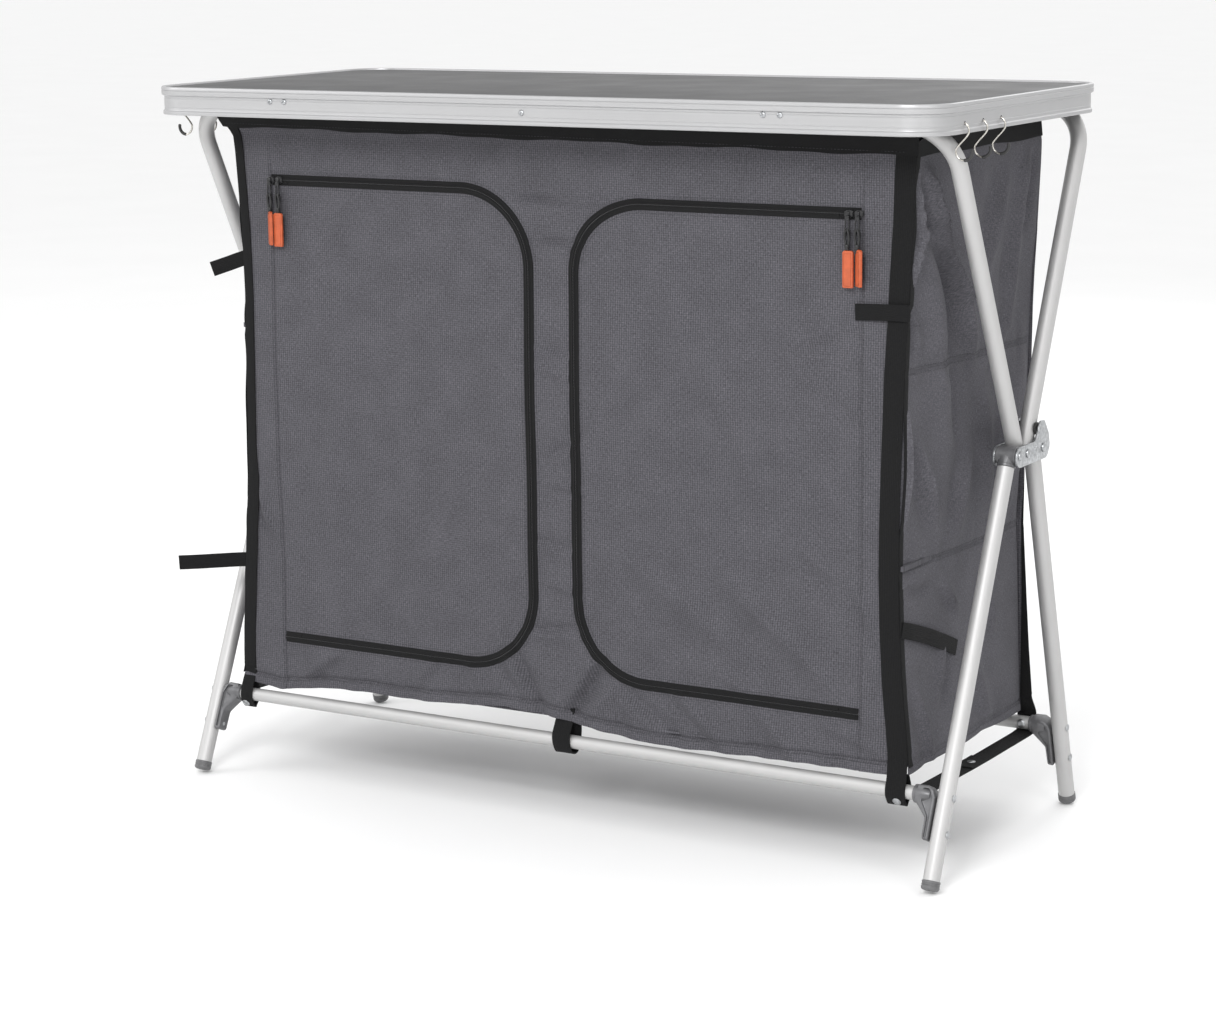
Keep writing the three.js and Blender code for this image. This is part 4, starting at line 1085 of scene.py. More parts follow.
def make_leg_pairs():
    for which, pivot, foot, bar in (("front", front_leg_pivot[1], -foot_y, front_bar_place),
                                    ("rear", rear_leg_pivot[1], foot_y, rear_bar_place)):
        body = f"{which}_legs"
        start, along, length = leg_line(pivot, foot)
        rivet_places = []
        for hand, side in HANDS:
            top = start + np.array([side * tube_x, 0, 0])
            ends = [top + along * reach for reach in (leg_top_cut, length / 2, length - leg_foot_cut)]
            leg = tube(f"{which}_leg_tube_{hand}", ends, tube_radius, looks["tube"], (1, 0, 0), tube_wall, 40)
            settled(leg, body, "tube_metal", f"{which}_leg_{hand}")
            sleeve = make_leg_sleeve(f"{which}_leg_end_{hand}", top, along)
            settled(sleeve, body, "casting", f"{which}_leg_sleeve_{hand}")
            cap = make_foot_cap(f"{which}_foot_{hand}", top, along, length)
            settled(cap, body, "cap_plastic", f"{which}_foot_cap_{hand}")
            bracket = bracket_body(f"{which}_corner_casting_{hand}", side, bar, along)
            settled(bracket, body, "casting", f"{which}_corner_bracket_{hand}")
            bar_reach = (pivot_z - bar[2]) / -along[2]
            for drop in outer_rivet_drops:
                centre = top + along * (bar_reach + drop)
                rivet_places.append((centre + np.array([side * (tube_radius - 0.1), 0, 0]), (side, 0, 0)))
            inward_x = side * (tube_x - tube_radius - bracket_face_reach)
            inner_face = start + along * (bar_reach + inner_rivet_drop) + np.array([inward_x, 0, 0])
            rivet_places.append((inner_face, (-side, 0, 0)))
        rivets(f"{which}_leg_rivets", rivet_places, body)
        reach = tube_x - tube_radius - bar_end_gap
        route = [(x, bar[1], bar[2]) for x in np.linspace(-reach, reach, 9)]
        cross = tube(f"{which}_low_tube", route, bar_radius, looks["tube"], (0, 0, 1), tube_wall, 36)
        settled(cross, body, "tube_metal", f"{which}_bar")


# Sizes of the hinge plates, and of the pins and rivets in them
nose_radius = 11.6
plate_low, plate_high = -13.3, 9.9
pin_hole_radius = 3.3
fixed_rivet_pitch = 25.0
pin_head_gap = 0.3
# A pin's head and a washer on it: distance out, and radius
pin_head = [(0.0, 3.0), (0.0, 5.2), (0.9, 5.0), (1.6, 3.8), (2.0, 2.0), (2.05, 0)]
washer = [(tube_radius + 0.4, 3.0), (tube_radius + 0.4, 8.0), (plate_gap - 0.4, 8.0), (plate_gap - 0.4, 3.0)]


def plate_outline():
    """The hinge plate seen from the right: y across and height above the pivot line."""
    nose_middle = (front_leg_pivot[1] + 1.8, -1.7)
    nose = arc(nose_radius, nose_middle, range(90, 271, 12))
    rest = filleted([(nose_middle[0], plate_low, 0), (79.5, plate_low, 9), (88.0, -0.5, 7), (84.5, 14.0, 12),
                     (71.5, 31.0, 6), (61.0, 31.0, 4.5), (46.0, plate_high, 9),
                     (nose_middle[0], plate_high, 0)])
    return nose + rest[1:-1]


def make_hinges():
    holes = [front_leg_pivot[1], front_frame_pivot[1], rear_leg_pivot[1]]
    rear_rise = unit([0, rear_crossbar_y - rear_frame_y, crossbar_z - pivot_z])
    fixed = [np.array([0, rear_frame_y, pivot_z]) + rear_rise * up for up in (0.0, fixed_rivet_pitch)]
    for hand, side in HANDS:
        heads = []
        for facing, name in ((1, "outer"), (-1, "inner")):
            x = side * (tube_x + facing * (plate_gap + plate_thickness / 2))
            place_at = placed((x, 0, pivot_z), (0, 1, 0), (0, 0, 1))
            outlines = [plate_outline()] + [arc(pin_hole_radius, (y, 0), range(0, 360, 15)) for y in holes]
            plate = flat_plate(f"{name}_plate_{hand}", outlines, plate_thickness, 0.5, place_at,
                               looks["zinc"])
            settled(plate, "rear_frame", "zinc", f"hinge_plate_{name}_{hand}")
            face_x = side * (tube_x + facing * (plate_gap + plate_thickness))
            heads += [((face_x, point[1], point[2]), (side * facing, 0, 0)) for point in fixed]
        rivets(f"plate_rivets_{hand}", heads, "rear_frame", head_radius=4.4, head_height=2.0,
               flange_radius=5.2)
        for name, y in zip(("front_leg", "front_frame", "rear_leg"), holes):
            head_foot = plate_gap + plate_thickness + pin_head_gap
            upper = washer if name == "front_frame" else []
            upper = upper + [(head_foot + out, radius) for out, radius in pin_head]
            profile = [(-out, radius) for out, radius in reversed(upper)] + upper
            pin = turned(f"{name}_pin_{hand}", profile, looks["zinc"], (side * tube_x, y, pivot_z), (1, 0, 0),
                         sides=28)
            settled(pin, "rear_frame", "zinc", f"{name}_pivot_pin_{hand}")
        spacers = [turned("spacer", [(tube_radius + 0.1, 7.0), (plate_gap - 0.1, 7.0)], looks["rubber"],
                          (side * tube_x, point[1], point[2]), (sign, 0, 0), sides=24)
                   for point in fixed for sign in (-1, 1)]
        settled(merged(f"frame_spacers_{hand}", spacers), "rear_frame", "cap_plastic")


make_upper_frames()
make_leg_pairs()
make_hinges()

# Nodes that stay as they are, with a finish
for kept, look in (("front_catch_left", "zinc"), ("front_catch_right", "zinc"), ("rear_clip", "cap")):
    kept_mesh = frame["nodes"][kept].data
    kept_mesh.materials.clear()
    kept_mesh.materials.append(looks[look])


# Cloth: how its faces lie

def smooth_step(value):
    value = np.clip(value, 0, 1)
    return value * value * (3 - 2 * value)


def fold_field(u, v, folds):
    """Relief from listed folds: (u, v) to (u, v), half width, height. A dip lies beside each ridge."""
    relief = np.zeros(np.broadcast(u, v).shape)
    for u0, v0, u1, v1, width, height in folds:
        du, dv = u1 - u0, v1 - v0
        length = math.hypot(du, dv)
        share = ((u - u0) * du + (v - v0) * dv) / length ** 2
        beside = ((u - u0) * dv - (v - v0) * du) / length
        beyond = np.maximum(0, np.abs(share - 0.5) - 0.5) * length
        ends = np.exp(-(beyond / (0.8 * width + 4)) ** 2)
        crest = np.exp(-(np.abs(beside) / (0.85 * width)) ** 1.5)
        ridge = crest - 0.6 * np.exp(-((beside - 1.6 * width) / (1.1 * width)) ** 2)
        relief += height * ridge * ends * (0.55 + 0.45 * np.sin(np.pi * np.clip(share, 0, 1)))
    return relief


def waves(u, v, seed, longest, shortest, height, count=14):
    """Gentle uneven waves from a fixed seed."""
    draw = random.Random(seed)
    relief = np.zeros(np.broadcast(u, v).shape)
    for _ in range(count):
        length = longest * (shortest / longest) ** draw.random()
        turn = draw.uniform(0, math.pi)
        phase = draw.uniform(0, 2 * math.pi)
        size = height * (length / longest) ** 0.8
        relief += size * np.sin(2 * math.pi * (u * math.cos(turn) + v * math.sin(turn)) / length + phase)
    return relief / math.sqrt(count / 2)


def puckers(along, distance, seed, reach, height, pitch=21.0):
    """Short gathers beside a seam, fading away from it."""
    draw = random.Random(seed)
    phases = [draw.uniform(0, 6.3) for _ in range(3)]
    wave = (np.sin(2 * math.pi * along / pitch + phases[0])
            + 0.7 * np.sin(2 * math.pi * along / (pitch * 1.63) + phases[1])
            + 0.5 * np.sin(2 * math.pi * along / (pitch * 0.61) + phases[2]))
    return height * wave * np.exp(-(distance / reach) ** 2)


# Where the front's lower edge runs: x and height
hem_points = [(-454, 116), (-441, 115), (-398, 111), (-340, 118), (-277, 122), (-200, 122), (-138, 124),
              (-66, 131), (-25, 128), (9, 124), (58, 116), (110, 112), (168, 110), (240, 112), (316, 115),
              (431, 114), (454, 115)]


def hem_z(x):
    points = np.array(hem_points, float)
    return np.interp(x, points[:, 0], points[:, 1]) + 0.5 * np.sin(np.asarray(x) / 29.0)


# Where the front's upright edges run on the two hands: height and distance from the middle
edge_points = {
    -1: [(114, 455), (150, 454.5), (185, 453), (217, 450.5), (250, 448.5), (280, 446), (312, 444), (345, 441),
         (375, 438), (440, 436.5), (560, 434.5), (600, 433.5), (680, 435), (771, 441), (801, 444.5),
         (828, 448)],
    1: [(114, 449), (141, 448.5), (169, 446), (198, 443), (225, 440.8), (281, 438), (337, 436.5), (393, 437),
        (448, 438.5), (557, 442), (611, 445.5), (665, 448.2), (718, 451.5), (771, 453.1), (800, 455),
        (828, 456.8)]}


def edge_x(z, side):
    """Where the front's upright edge runs at a height."""
    points = np.array(edge_points[int(side)], float)
    return side * np.interp(z, points[:, 0], points[:, 1])


def spread_at(z):
    """How far the top of the cloth stands out at the sides."""
    return 7.0 * smooth_step((np.asarray(z, float) - band_z) / (rim_low[2] - band_z))


def band_low(x):
    """The front band's lower edge: it hangs a little higher towards the left."""
    return band_z + 10.0 - 4.5 * np.asarray(x, float) / side_x


# How a side's rear edge stands: height, distance out and distance back from the corner
rear_points = [(114, -8, -8), (250, -8, -9), (350, -9, -10), (400, -7, -9), (434, -3, -5), (480, 0, -1),
               (520, 0, -2), (600, 1, -1), (640, 2.5, 0), (684, 5, 0), (760, 6, 1), (786, 6, 1), (845, 0, 1)]


def rear_shift(z, column):
    """How far a rear edge is shifted out (column 1) or back (column 2) at a height."""
    points = np.array(rear_points, float)
    return np.interp(z, points[:, 0], points[:, column])


# Folds of the front as the photograph shows them: x and height at both ends, half width, height
front_folds = [
    (-46, 731, 30, 727, 5, -2.0), (30, 727, 76, 730, 6, 1.6), (-22, 684, 40, 680, 5, -1.8),
    (-155, 790, -139, 748, 9, 1.6), (-122, 786, -106, 752, 8, 1.3), (20, 794, 6, 762, 9, 1.2),
    (96, 768, 132, 744, 10, 1.0), (-16, 566, 22, 552, 5, -1.6), (-18, 536, 29, 524, 5, 1.4),
    (-12, 430, 34, 458, 6, -1.6), (-4, 402, 37, 397, 5, 1.4), (-20, 335, 21, 327, 5, -1.6),
    (-9, 286, 35, 272, 6, 1.5), (-64, 214, -18, 124, 8, -3.4), (-88, 186, -42, 140, 8, -2.2),
    (-44, 228, 35, 233, 6, -2.0), (64, 200, 22, 134, 8, -3.8), (84, 176, 38, 128, 9, 2.4),
    (-366, 130, -314, 166, 8, 2.4), (-196, 146, -168, 176, 7, 1.8), (-126, 182, -104, 150, 8, 2.0),
    (-424, 358, -410, 322, 6, 3.0), (-420, 330, -398, 300, 6, 1.8),
    (-426, 560, -408, 530, 6, 1.6), (100, 318, 224, 242, 16, 2.2), (232, 304, 344, 220, 18, 3.2),
    (322, 352, 375, 322, 9, 1.6), (85, 174, 160, 122, 9, -2.4), (160, 174, 222, 118, 9, 2.8),
    (272, 158, 312, 120, 9, 2.2), (386, 314, 416, 264, 8, 2.0), (206, 208, 258, 184, 10, 1.6),
    (308, 586, 388, 614, 12, 2.0),
    (322, 556, 388, 512, 12, 1.6), (408, 784, 404, 744, 7, 1.4), (350, 160, 420, 140, 8, 1.6),
    (400, 250, 428, 200, 7, 1.6), (-300, 480, -330, 330, 22, 1.4), (-120, 640, -60, 420, 24, 1.2),
    (120, 690, 210, 520, 24, 1.2), (-260, 700, -180, 600, 20, 1.0)]


right_sag = 10.0


def sag(x, z):
    """How much lower the front's upper right part hangs."""
    rightward = smooth_step((np.asarray(x, float) + 20) / 120.0)
    return right_sag * rightward * smooth_step((np.asarray(z, float) - 480) / 240.0)


def door_distance(x, z):
    """How far a point of the front lies outside the nearer door's outline."""
    across = np.abs(x) - (door_inner + door_outer) / 2
    above = z + sag(x, z) - (door_bottom + door_top) / 2
    corner = np.where(across < 0, door_radius, 0.0)
    past_x = np.abs(across) - (door_outer - door_inner) / 2 + corner
    past_z = np.abs(above) - (door_top - door_bottom) / 2 + corner
    outside = np.hypot(np.maximum(past_x, 0), np.maximum(past_z, 0))
    return outside + np.minimum(np.maximum(past_x, past_z), 0) - corner


def front_face(x, z):
    """The y of the front's outer face."""
    x = np.asarray(x, float)
    z = np.asarray(z, float)
    flare = 18.4 * smooth_step((z - band_z) / (crossbar_z - 2.4 - band_z))
    below_band = smooth_step((band_z - z) / 40.0)
    to_edge = np.where(x > 0, edge_x(z, 1) - x, x - edge_x(z, -1))
    near_edge = smooth_step((to_edge - np.where(x > 0, 22.0, 11.0)) / 14.0)
    near_zip = 1 - 0.8 * np.exp(-(door_distance(x, z) / 9.0) ** 2)
    relief = near_zip * (2.4 * fold_field(x, z, front_folds) + waves(x, z, 11, 420, 90, 1.6))
    relief += puckers(x, band_z - z, 3, 26, 0.7)
    relief += puckers(x, z - hem_z(x), 4, 34, 1.4, 58.0)
    relief += puckers(z, np.abs(x) - seam_x, 5, 9, 0.3, 15.0)
    relief -= 1.5 * np.exp(-((np.abs(x) - seam_x) / 1.6) ** 2)
    beyond = np.abs(x) - seam_x
    relief += 0.7 * smooth_step((beyond + 1.0) / 3.0) * smooth_step((22 - beyond) / 18.0)
    above_hem = z - hem_z(x) - front_hem_width
    hem = 2.2 * smooth_step(-above_hem / 3.0) - 2.0 * np.exp(-(above_hem / 2.0) ** 2)
    return front_y - flare - below_band * near_edge * relief - hem


def sheet_from(name, points, faces, uv, inward, look="cloth", wall=cloth_wall, crisp=50.0):
    """Cloth with a thickness: its outer face, its inner face and a wall along every free edge."""
    points = np.asarray(points, float)
    count = len(points)
    both = np.concatenate([points, points + np.asarray(inward, float) * wall])
    seen = {}
    for face in faces:
        for a, b in zip(face, face[1:] + face[:1]):
            seen[(a, b)] = True
    walls = [(b, a, a + count, b + count) for a, b in seen if (b, a) not in seen]
    every = [tuple(f) for f in faces] + [tuple(i + count for i in reversed(f)) for f in faces] + walls
    used = sorted({i for f in every for i in f})
    renumbered = {old: new for new, old in enumerate(used)}
    every = [tuple(renumbered[i] for i in f) for f in every]
    pairs = np.concatenate([uv, uv])[used]
    corner_uvs = pairs[[i for f in every for i in f]]
    return mesh_object(name, both[used], every, looks[look], corner_uvs, crisp)


def grid_faces(rows, columns):
    return [[r * columns + c, r * columns + c + 1, (r + 1) * columns + c + 1, (r + 1) * columns + c]
            for r in range(rows - 1) for c in range(columns - 1)]


def shares(rows, columns):
    """Shares up a grid of cloth and across it."""
    return np.linspace(0, 1, rows)[:, None], np.linspace(0, 1, columns)[None, :]


def grid_sheet(name, place, weave, inward, *finish):
    """A sheet over a whole grid, from its x, y and z there and the two values that its weave follows."""
    points = np.stack(place, axis=-1).reshape(-1, 3)
    uv = np.stack([value.ravel() for value in weave], axis=1)
    return sheet_from(name, points, grid_faces(*place[2].shape), uv, inward, *finish)


def steps_between(low, high, step=grid_step):
    return max(2, int(round((high - low) / step))) + 1


def with_seams(values, seams):
    """Grid lines with closer ones at each seam."""
    close = [seam + shift for seam in seams for shift in (-3.2, -1.6, 0.0, 1.6, 3.2)]
    kept = [value for value in values if all(abs(value - line) > 1.7 for line in close)]
    return np.sort(np.array(kept + close))


def door_slopes(x, z):
    """How fast the distance from the doors' outline grows along x and along z."""
    step = 0.01
    slope_x = (door_distance(x + step, z) - door_distance(x - step, z)) / (2 * step)
    slope_z = (door_distance(x, z + step) - door_distance(x, z - step)) / (2 * step)
    return slope_x, slope_z


def front_grid():
    """The front's points in x and z, with those near a door's outline moved onto it."""
    columns_at = np.linspace(-side_x, side_x, steps_between(-side_x, side_x))
    plain = with_seams(columns_at, (-seam_x, seam_x))[None, :]
    tall = front_top_z - front_low_z
    heights = with_seams(np.linspace(0, tall, steps_between(0, tall)), (front_hem_width,))[:, None]
    rows, columns = heights.shape[0], plain.shape[1]
    z = hem_z(plain) + (front_top_z - hem_z(plain)) * heights / tall
    hand = np.sign(plain)
    drawn = np.where(plain > 0, side_x - edge_x(z, 1), side_x + edge_x(z, -1))
    x = plain - hand * drawn * smooth_step((np.abs(plain) - straight_x) / (side_x - straight_x))
    for _ in range(3):
        gap = door_distance(x, z)
        near = np.abs(gap) < grid_step / 2
        slope_x, slope_z = door_slopes(x, z)
        x = np.where(near, x - gap * slope_x, x)
        z = np.where(near, z - gap * slope_z, z)
    sign = np.where(np.abs(door_distance(x, z)) < 0.05, 0, np.sign(door_distance(x, z)))
    return x.ravel(), z.ravel(), sign.ravel(), rows, columns


def divided_faces(rows, columns, sign, x, z):
    """The front's faces outside the doors, and those of each door."""
    panel = []
    doors = {-1: [], 1: []}
    for face in grid_faces(rows, columns):
        signs = [sign[i] for i in face]
        pieces = [face]
        if min(signs) < 0 < max(signs):
            start = 0 if signs[0] == 0 or signs[2] == 0 else 1
            a, b, c, d = face[start:] + face[:start]
            pieces = [[a, b, c], [a, c, d]]
        for piece in pieces:
            total = sum(sign[i] for i in piece)
            if total == 0:
                middle_gap = door_distance(np.mean([x[i] for i in piece]), np.mean([z[i] for i in piece]))
                total = -1 if middle_gap < 0 else 1
            if total > 0:
                panel.append(piece)
            else:
                doors[1 if x[piece[0]] > 0 else -1].append(piece)
    return panel, doors


def make_front():
    x, z, sign, rows, columns = front_grid()
    y = front_face(x, z)
    panel, doors = divided_faces(rows, columns, sign, x, z)
    points = np.stack([x, y, z], axis=1)
    uv = np.stack([x, z], axis=1)
    made = sheet_from("front_cloth", points, panel, uv, (0, 1, 0))
    settled(made, "worktop", "cloth", "cloth_front")
    gathers(made)
    free = (sign == 0) & (np.abs(x) < door_outer - zip_gap)
    slope_x, slope_z = door_slopes(x, z)
    door_points = points.copy()
    door_points[free, 0] -= zip_gap * slope_x[free]
    door_points[free, 2] -= zip_gap * slope_z[free]
    for hand, side in HANDS:
        door = sheet_from(f"door_cloth_{hand}", door_points, doors[side], uv, (0, 1, 0))
        settled(door, f"door_leaf_{hand}", "cloth", f"door_{hand}")
        gathers(door)


def make_front_band():
    """The black band along the front's top edge."""
    up, across = shares(9, steps_between(-side_x, side_x, band_step))
    guess = side_x * (2 * across - 1)
    low = band_low(guess) + 0.9 * np.sin(guess / 31.0) + 0.6 * np.sin(guess / 12.7 + 1)
    z = low + (front_top_z - low) * up
    half = np.where(guess > 0, side_x + 1.2 + spread_at(z), side_x - 4.5 + 0.6 * spread_at(z))
    x = half * (2 * across - 1)
    lip = 0.5 * np.sin(x / 9.0) * (1 - up) ** 2
    y = front_face(x, z) - 1.9 - lip
    band = grid_sheet("front_band", (x, y, z), (z, x), (0, 1, 0), "band", band_wall)
    settled(band, "worktop", "webbing")
    gathers(band)


make_front()
make_front_band()


# Folds of the right side as the photograph shows them: y and height at both ends, half width, height
right_folds = [
    (-129, 786, -100, 722, 10, 6.5), (-100, 724, -24, 634, 11, 7.5), (-24, 634, 10, 560, 12, 4.0),
    (-142, 784, -128, 706, 7, 4.5), (-128, 706, -148, 646, 7, 3.5), (-70, 700, -22, 484, 20, -6.0),
    (-150, 636, -120, 596, 6, 3.0), (-128, 594, -112, 568, 5, 2.2), (146, 776, 126, 700, 11, -5.5),
    (76, 744, 30, 660, 16, 4.0), (98, 580, 36, 548, 9, 3.0), (112, 700, 104, 600, 13, 3.0),
    (-144, 506, -146, 398, 9, 4.5), (-112, 472, -76, 394, 11, 5.0), (6, 446, -20, 372, 13, 3.6),
    (92, 472, 124, 378, 12, 3.6), (-140, 326, -96, 322, 6, 2.4), (-50, 308, -22, 278, 7, 2.8),
    (62, 280, 74, 242, 7, 3.0), (-72, 190, -54, 240, 10, 2.8), (20, 220, 60, 140, 12, 2.4),
    (-120, 200, -96, 130, 9, 3.0), (40, 520, 60, 400, 18, 2.4)]
# The left side's folds, which the photograph doesn't show, laid out in the same way
left_folds = [
    (-132, 786, -108, 716, 10, 5.0), (-108, 716, -60, 640, 12, 5.0), (-140, 760, -134, 600, 8, 3.0),
    (60, 780, 36, 640, 14, 4.0), (130, 776, 112, 690, 11, -4.0), (-20, 700, 4, 590, 16, 3.0),
    (-110, 540, -90, 400, 11, 4.0), (20, 530, 0, 380, 15, 3.4), (110, 500, 122, 380, 12, 3.0),
    (-60, 320, -40, 260, 9, 2.6), (70, 310, 50, 230, 10, 2.6), (-110, 220, -90, 130, 10, 2.6),
    (30, 200, 50, 130, 12, 2.2)]
shelf_seams = (559.0, 343.0)
# How far a side is drawn in between its top and its hem, towards the rear corner
rear_draw = 6.0
rear_draw_height = 660


def side_face(y, z, side):
    """The distance of a side's outer face from the middle plane."""
    y = np.asarray(y, float)
    z = np.asarray(z, float)
    front_share = 1 - np.clip((y - front_y) / (back_y - front_y), 0, 1)
    drawn = side_x - np.abs(edge_x(z, side))
    folds, seed = (right_folds, 21) if side > 0 else (left_folds, 22)
    below_band = smooth_step((band_z - z) / 30.0)
    held = smooth_step((y - front_y) / 10.0) * smooth_step((back_y - y) / 22.0)
    relief = 2.6 * fold_field(y, z, folds) + waves(y, z, seed, 260, 60, 2.0)
    seam_hold = np.ones_like(relief)
    for k, seam in enumerate(shelf_seams):
        relief += puckers(y, z - seam, seed + 2 + k, 20, 1.0, 26.0)
        seam_hold *= 1 - 0.55 * np.exp(-((z - seam) / 16.0) ** 2)
    relief += puckers(y, z - band_z, seed + 6, 34, 0.8, 30.0)
    creased = sum(2.2 * np.exp(-((z - seam) / 2.4) ** 2) for seam in shelf_seams)
    above_hem = z - side_hem_seam_z
    hem = 1.8 * smooth_step(-above_hem / 4.0) - 1.2 * np.exp(-(above_hem / 1.8) ** 2)
    spread = spread_at(z) * front_share + rear_shift(z, 1) * (1 - front_share) ** 2
    waist = np.sin(math.pi * np.clip((z - low_edge_z) / rear_draw_height, 0, 1))
    lean_in = drawn * front_share ** 1.4 + rear_draw * (1 - front_share) ** 3 * waist
    return side_x - lean_in + below_band * held * seam_hold * relief - creased * held + hem + spread


def side_hem_z(y):
    """The height of a side's lower edge."""
    y = np.asarray(y)
    return low_edge_z + 3.0 * np.sin((y - front_y) / 95.0) + 1.0 * np.sin(y / 23.0)


def rear_edge_y(z):
    """A side's rear edge, drawn forwards at its lower half."""
    return back_y + rear_shift(z, 2)


def make_sides():
    heights = np.linspace(low_edge_z, side_top_z, steps_between(low_edge_z, side_top_z))
    level = with_seams(heights, shelf_seams + (side_hem_seam_z,))[:, None]
    across = shares(1, steps_between(front_y, back_y))[1]
    guess = front_y + cupboard_depth * across
    z = level + (side_hem_z(guess) - low_edge_z) * smooth_step((200 - level) / 83.0)
    setback = 9.0 * smooth_step((z - band_z) / (rim_low[2] - band_z))
    y = front_y + 0.6 + setback + (rear_edge_y(z) - front_y - 0.6 - setback) * across
    for hand, side in HANDS:
        x = side * side_face(y, z, side)
        # The sides wear the copy of the cloth that is painted lighter: painted light.
        made = grid_sheet(f"side_cloth_{hand}", (x, y, z), (y, z), (-side, 0, 0), "side_cloth")
        settled(made, "worktop", "cloth", f"cloth_side_{hand}")
        gathers(made)
        make_side_band(hand, side)


def make_side_band(hand, side):
    """The black band along a side's top edge, under the rim."""
    up, across = shares(10, steps_between(front_y, back_y, band_step))
    guess = front_y + cupboard_depth * across
    low = band_z + 4.5 + 1.0 * np.sin(guess / 21.0)
    z = low + (side_top_z - 0.6 - low) * up
    flared = front_face(side * (side_x - 1.0), z) - 0.6
    past_tube = smooth_step((z - (crossbar_z - tube_radius - 8.0)) / 7.0)
    start = flared + (front_y + 10.0 - flared) * past_tube
    y = start + (back_y + 0.4 - start) * across
    x = side * (side_face(y, z, side) + 1.8)
    band = grid_sheet(f"side_band_{hand}", (x, y, z), (z, y), (-side, 0, 0), "band", band_wall)
    settled(band, "worktop", "webbing")
    gathers(band)


# Folds guessed for the back: x and height at both ends, half width, height
back_folds = [
    (-380, 780, -360, 600, 16, 2.6), (-250, 780, -235, 560, 18, 2.2), (-90, 780, -110, 600, 18, 2.4),
    (70, 780, 60, 560, 18, 2.2), (240, 780, 262, 600, 18, 2.4), (390, 780, 372, 610, 15, 2.6),
    (-310, 520, -290, 380, 18, 2.2), (-120, 530, -140, 380, 18, 2.0), (90, 520, 110, 380, 18, 2.2),
    (300, 530, 280, 380, 18, 2.2), (-220, 320, -190, 170, 16, 2.2), (20, 320, 0, 160, 18, 2.0),
    (230, 320, 260, 170, 16, 2.2)]


def back_face(x, z):
    """The y of the back's outer face."""
    inside = smooth_step((band_z - z) / 40.0) * smooth_step((side_x - np.abs(x)) / 24.0)
    relief = fold_field(x, z, back_folds) + waves(x, z, 31, 380, 90, 1.2)
    for k, seam in enumerate(shelf_seams):
        relief += puckers(x, z - seam, 33 + k, 20, 0.6, 27.0)
        relief -= 1.2 * np.exp(-((z - seam) / 2.2) ** 2)
    hem = 1.0 * smooth_step((130.0 - z) / 1.8)
    return back_y - 2.0 + inside * relief + hem


def make_back():
    columns = steps_between(-side_x, side_x, band_step)
    up, across = shares(steps_between(low_edge_z, side_top_z, band_step), columns)
    guess = side_x * (2 * across - 1)
    low = low_edge_z + 2.0 * np.sin(guess / 70.0) + 0.8 * np.sin(guess / 19.0)
    z = low + (side_top_z - low) * up
    x = (side_x - 1.5 + rear_shift(z, 1)) * (2 * across - 1)
    made = grid_sheet("back_cloth", (x, back_face(x, z), z), (x, z), (0, -1, 0))
    settled(made, "worktop", "cloth", "cloth_back")
    gathers(made)
    up, across = shares(8, columns)
    low = band_z + 4.0 + 1.0 * np.sin(guess / 27.0)
    z = low + (side_top_z - 0.6 - low) * up
    x = (side_x - 0.5 + rear_shift(z, 1)) * (2 * across - 1)
    band = grid_sheet("back_band", (x, back_face(x, z) + 1.1, z), (z, x), (0, -1, 0), "band", band_wall)
    settled(band, "worktop", "webbing")
    gathers(band)


# The floor and shelves: each one's node, wall, slack and seed
levels = (("cloth_floor", 2.4, 0.0, 41), ("shelf_lower", 5.6, 3.0, 42), ("shelf_upper", 5.6, 3.0, 43))
level_step = 9.0
level_half = 436


def make_levels():
    """The floor and the two shelves, each sewn between the panels and a little slack."""
    for node, wall, slack, seed in levels:
        low, high = node_box(node)
        columns = steps_between(low[0], high[0], level_step)
        up, across = shares(steps_between(low[1], high[1], level_step), columns)
        x = low[0] + (high[0] - low[0]) * across + 0 * up
        y = low[1] + (high[1] - low[1]) * up + 0 * across
        inside = np.clip(x, -level_half, level_half)
        x = inside + (x - inside) * 0.3
        hold = np.sin(math.pi * across) * np.sin(math.pi * up)
        z = high[2] - slack * hold + 0.5 * waves(x, y, seed, 300, 80, 1.0) * hold
        made = grid_sheet(f"{node}_sheet", (x, y, z), (x, y), (0, 0, -1), "cloth", wall, 60.0)
        settled(made, "worktop", "cloth", node)
        gathers(made)


make_sides()
make_back()
make_levels()


# Zips

def door_route(side, grow, outer_x):
    """Points along a door's outline, grown by a little: in along its top, down and out along its bottom."""
    inner = door_inner - grow
    radius = door_radius + grow
    low, high = door_bottom - grow, door_top + grow
    level = steps_between(door_inner + door_radius, outer_x)
    turns = steps_between(0, door_radius * math.pi / 2)
    upright = steps_between(door_bottom + door_radius, door_top - door_radius)
    bend = np.linspace(0, math.pi / 2, turns)
    points = [(x, high) for x in np.linspace(outer_x, inner + radius, level)[:-1]]
    points += [(inner + radius - radius * math.sin(a), high - radius + radius * math.cos(a)) for a in bend]
    points += [(inner, z) for z in np.linspace(high - radius, low + radius, upright)[1:-1]]
    points += [(inner + radius - radius * math.cos(a), low + radius - radius * math.sin(a)) for a in bend]
    points += [(x, low) for x in np.linspace(inner + radius, outer_x, level)[1:]]
    route = np.array(points)
    route[:, 0] *= side
    route[:, 1] -= sag(route[:, 0], route[:, 1] - 10.0)
    return route


def on_front(route, lift):
    """Points of the front lifted off its outer face."""
    route = np.asarray(route, float)
    return np.stack([route[:, 0], front_face(route[:, 0], route[:, 1]) - lift, route[:, 1]], axis=1)


# A zip tape's section: share of the way from its inner edge to its outer one, and lift off the cloth
tape_section = [(0.0, 0.1), (0.0, 1.4), (0.05, 2.0), (0.16, 2.35), (0.30, 2.1), (0.42, 1.35), (0.50, 1.1),
                (0.62, 1.15), (0.8, 1.1), (0.95, 1.0), (1.0, 0.7), (1.0, 0.1)]


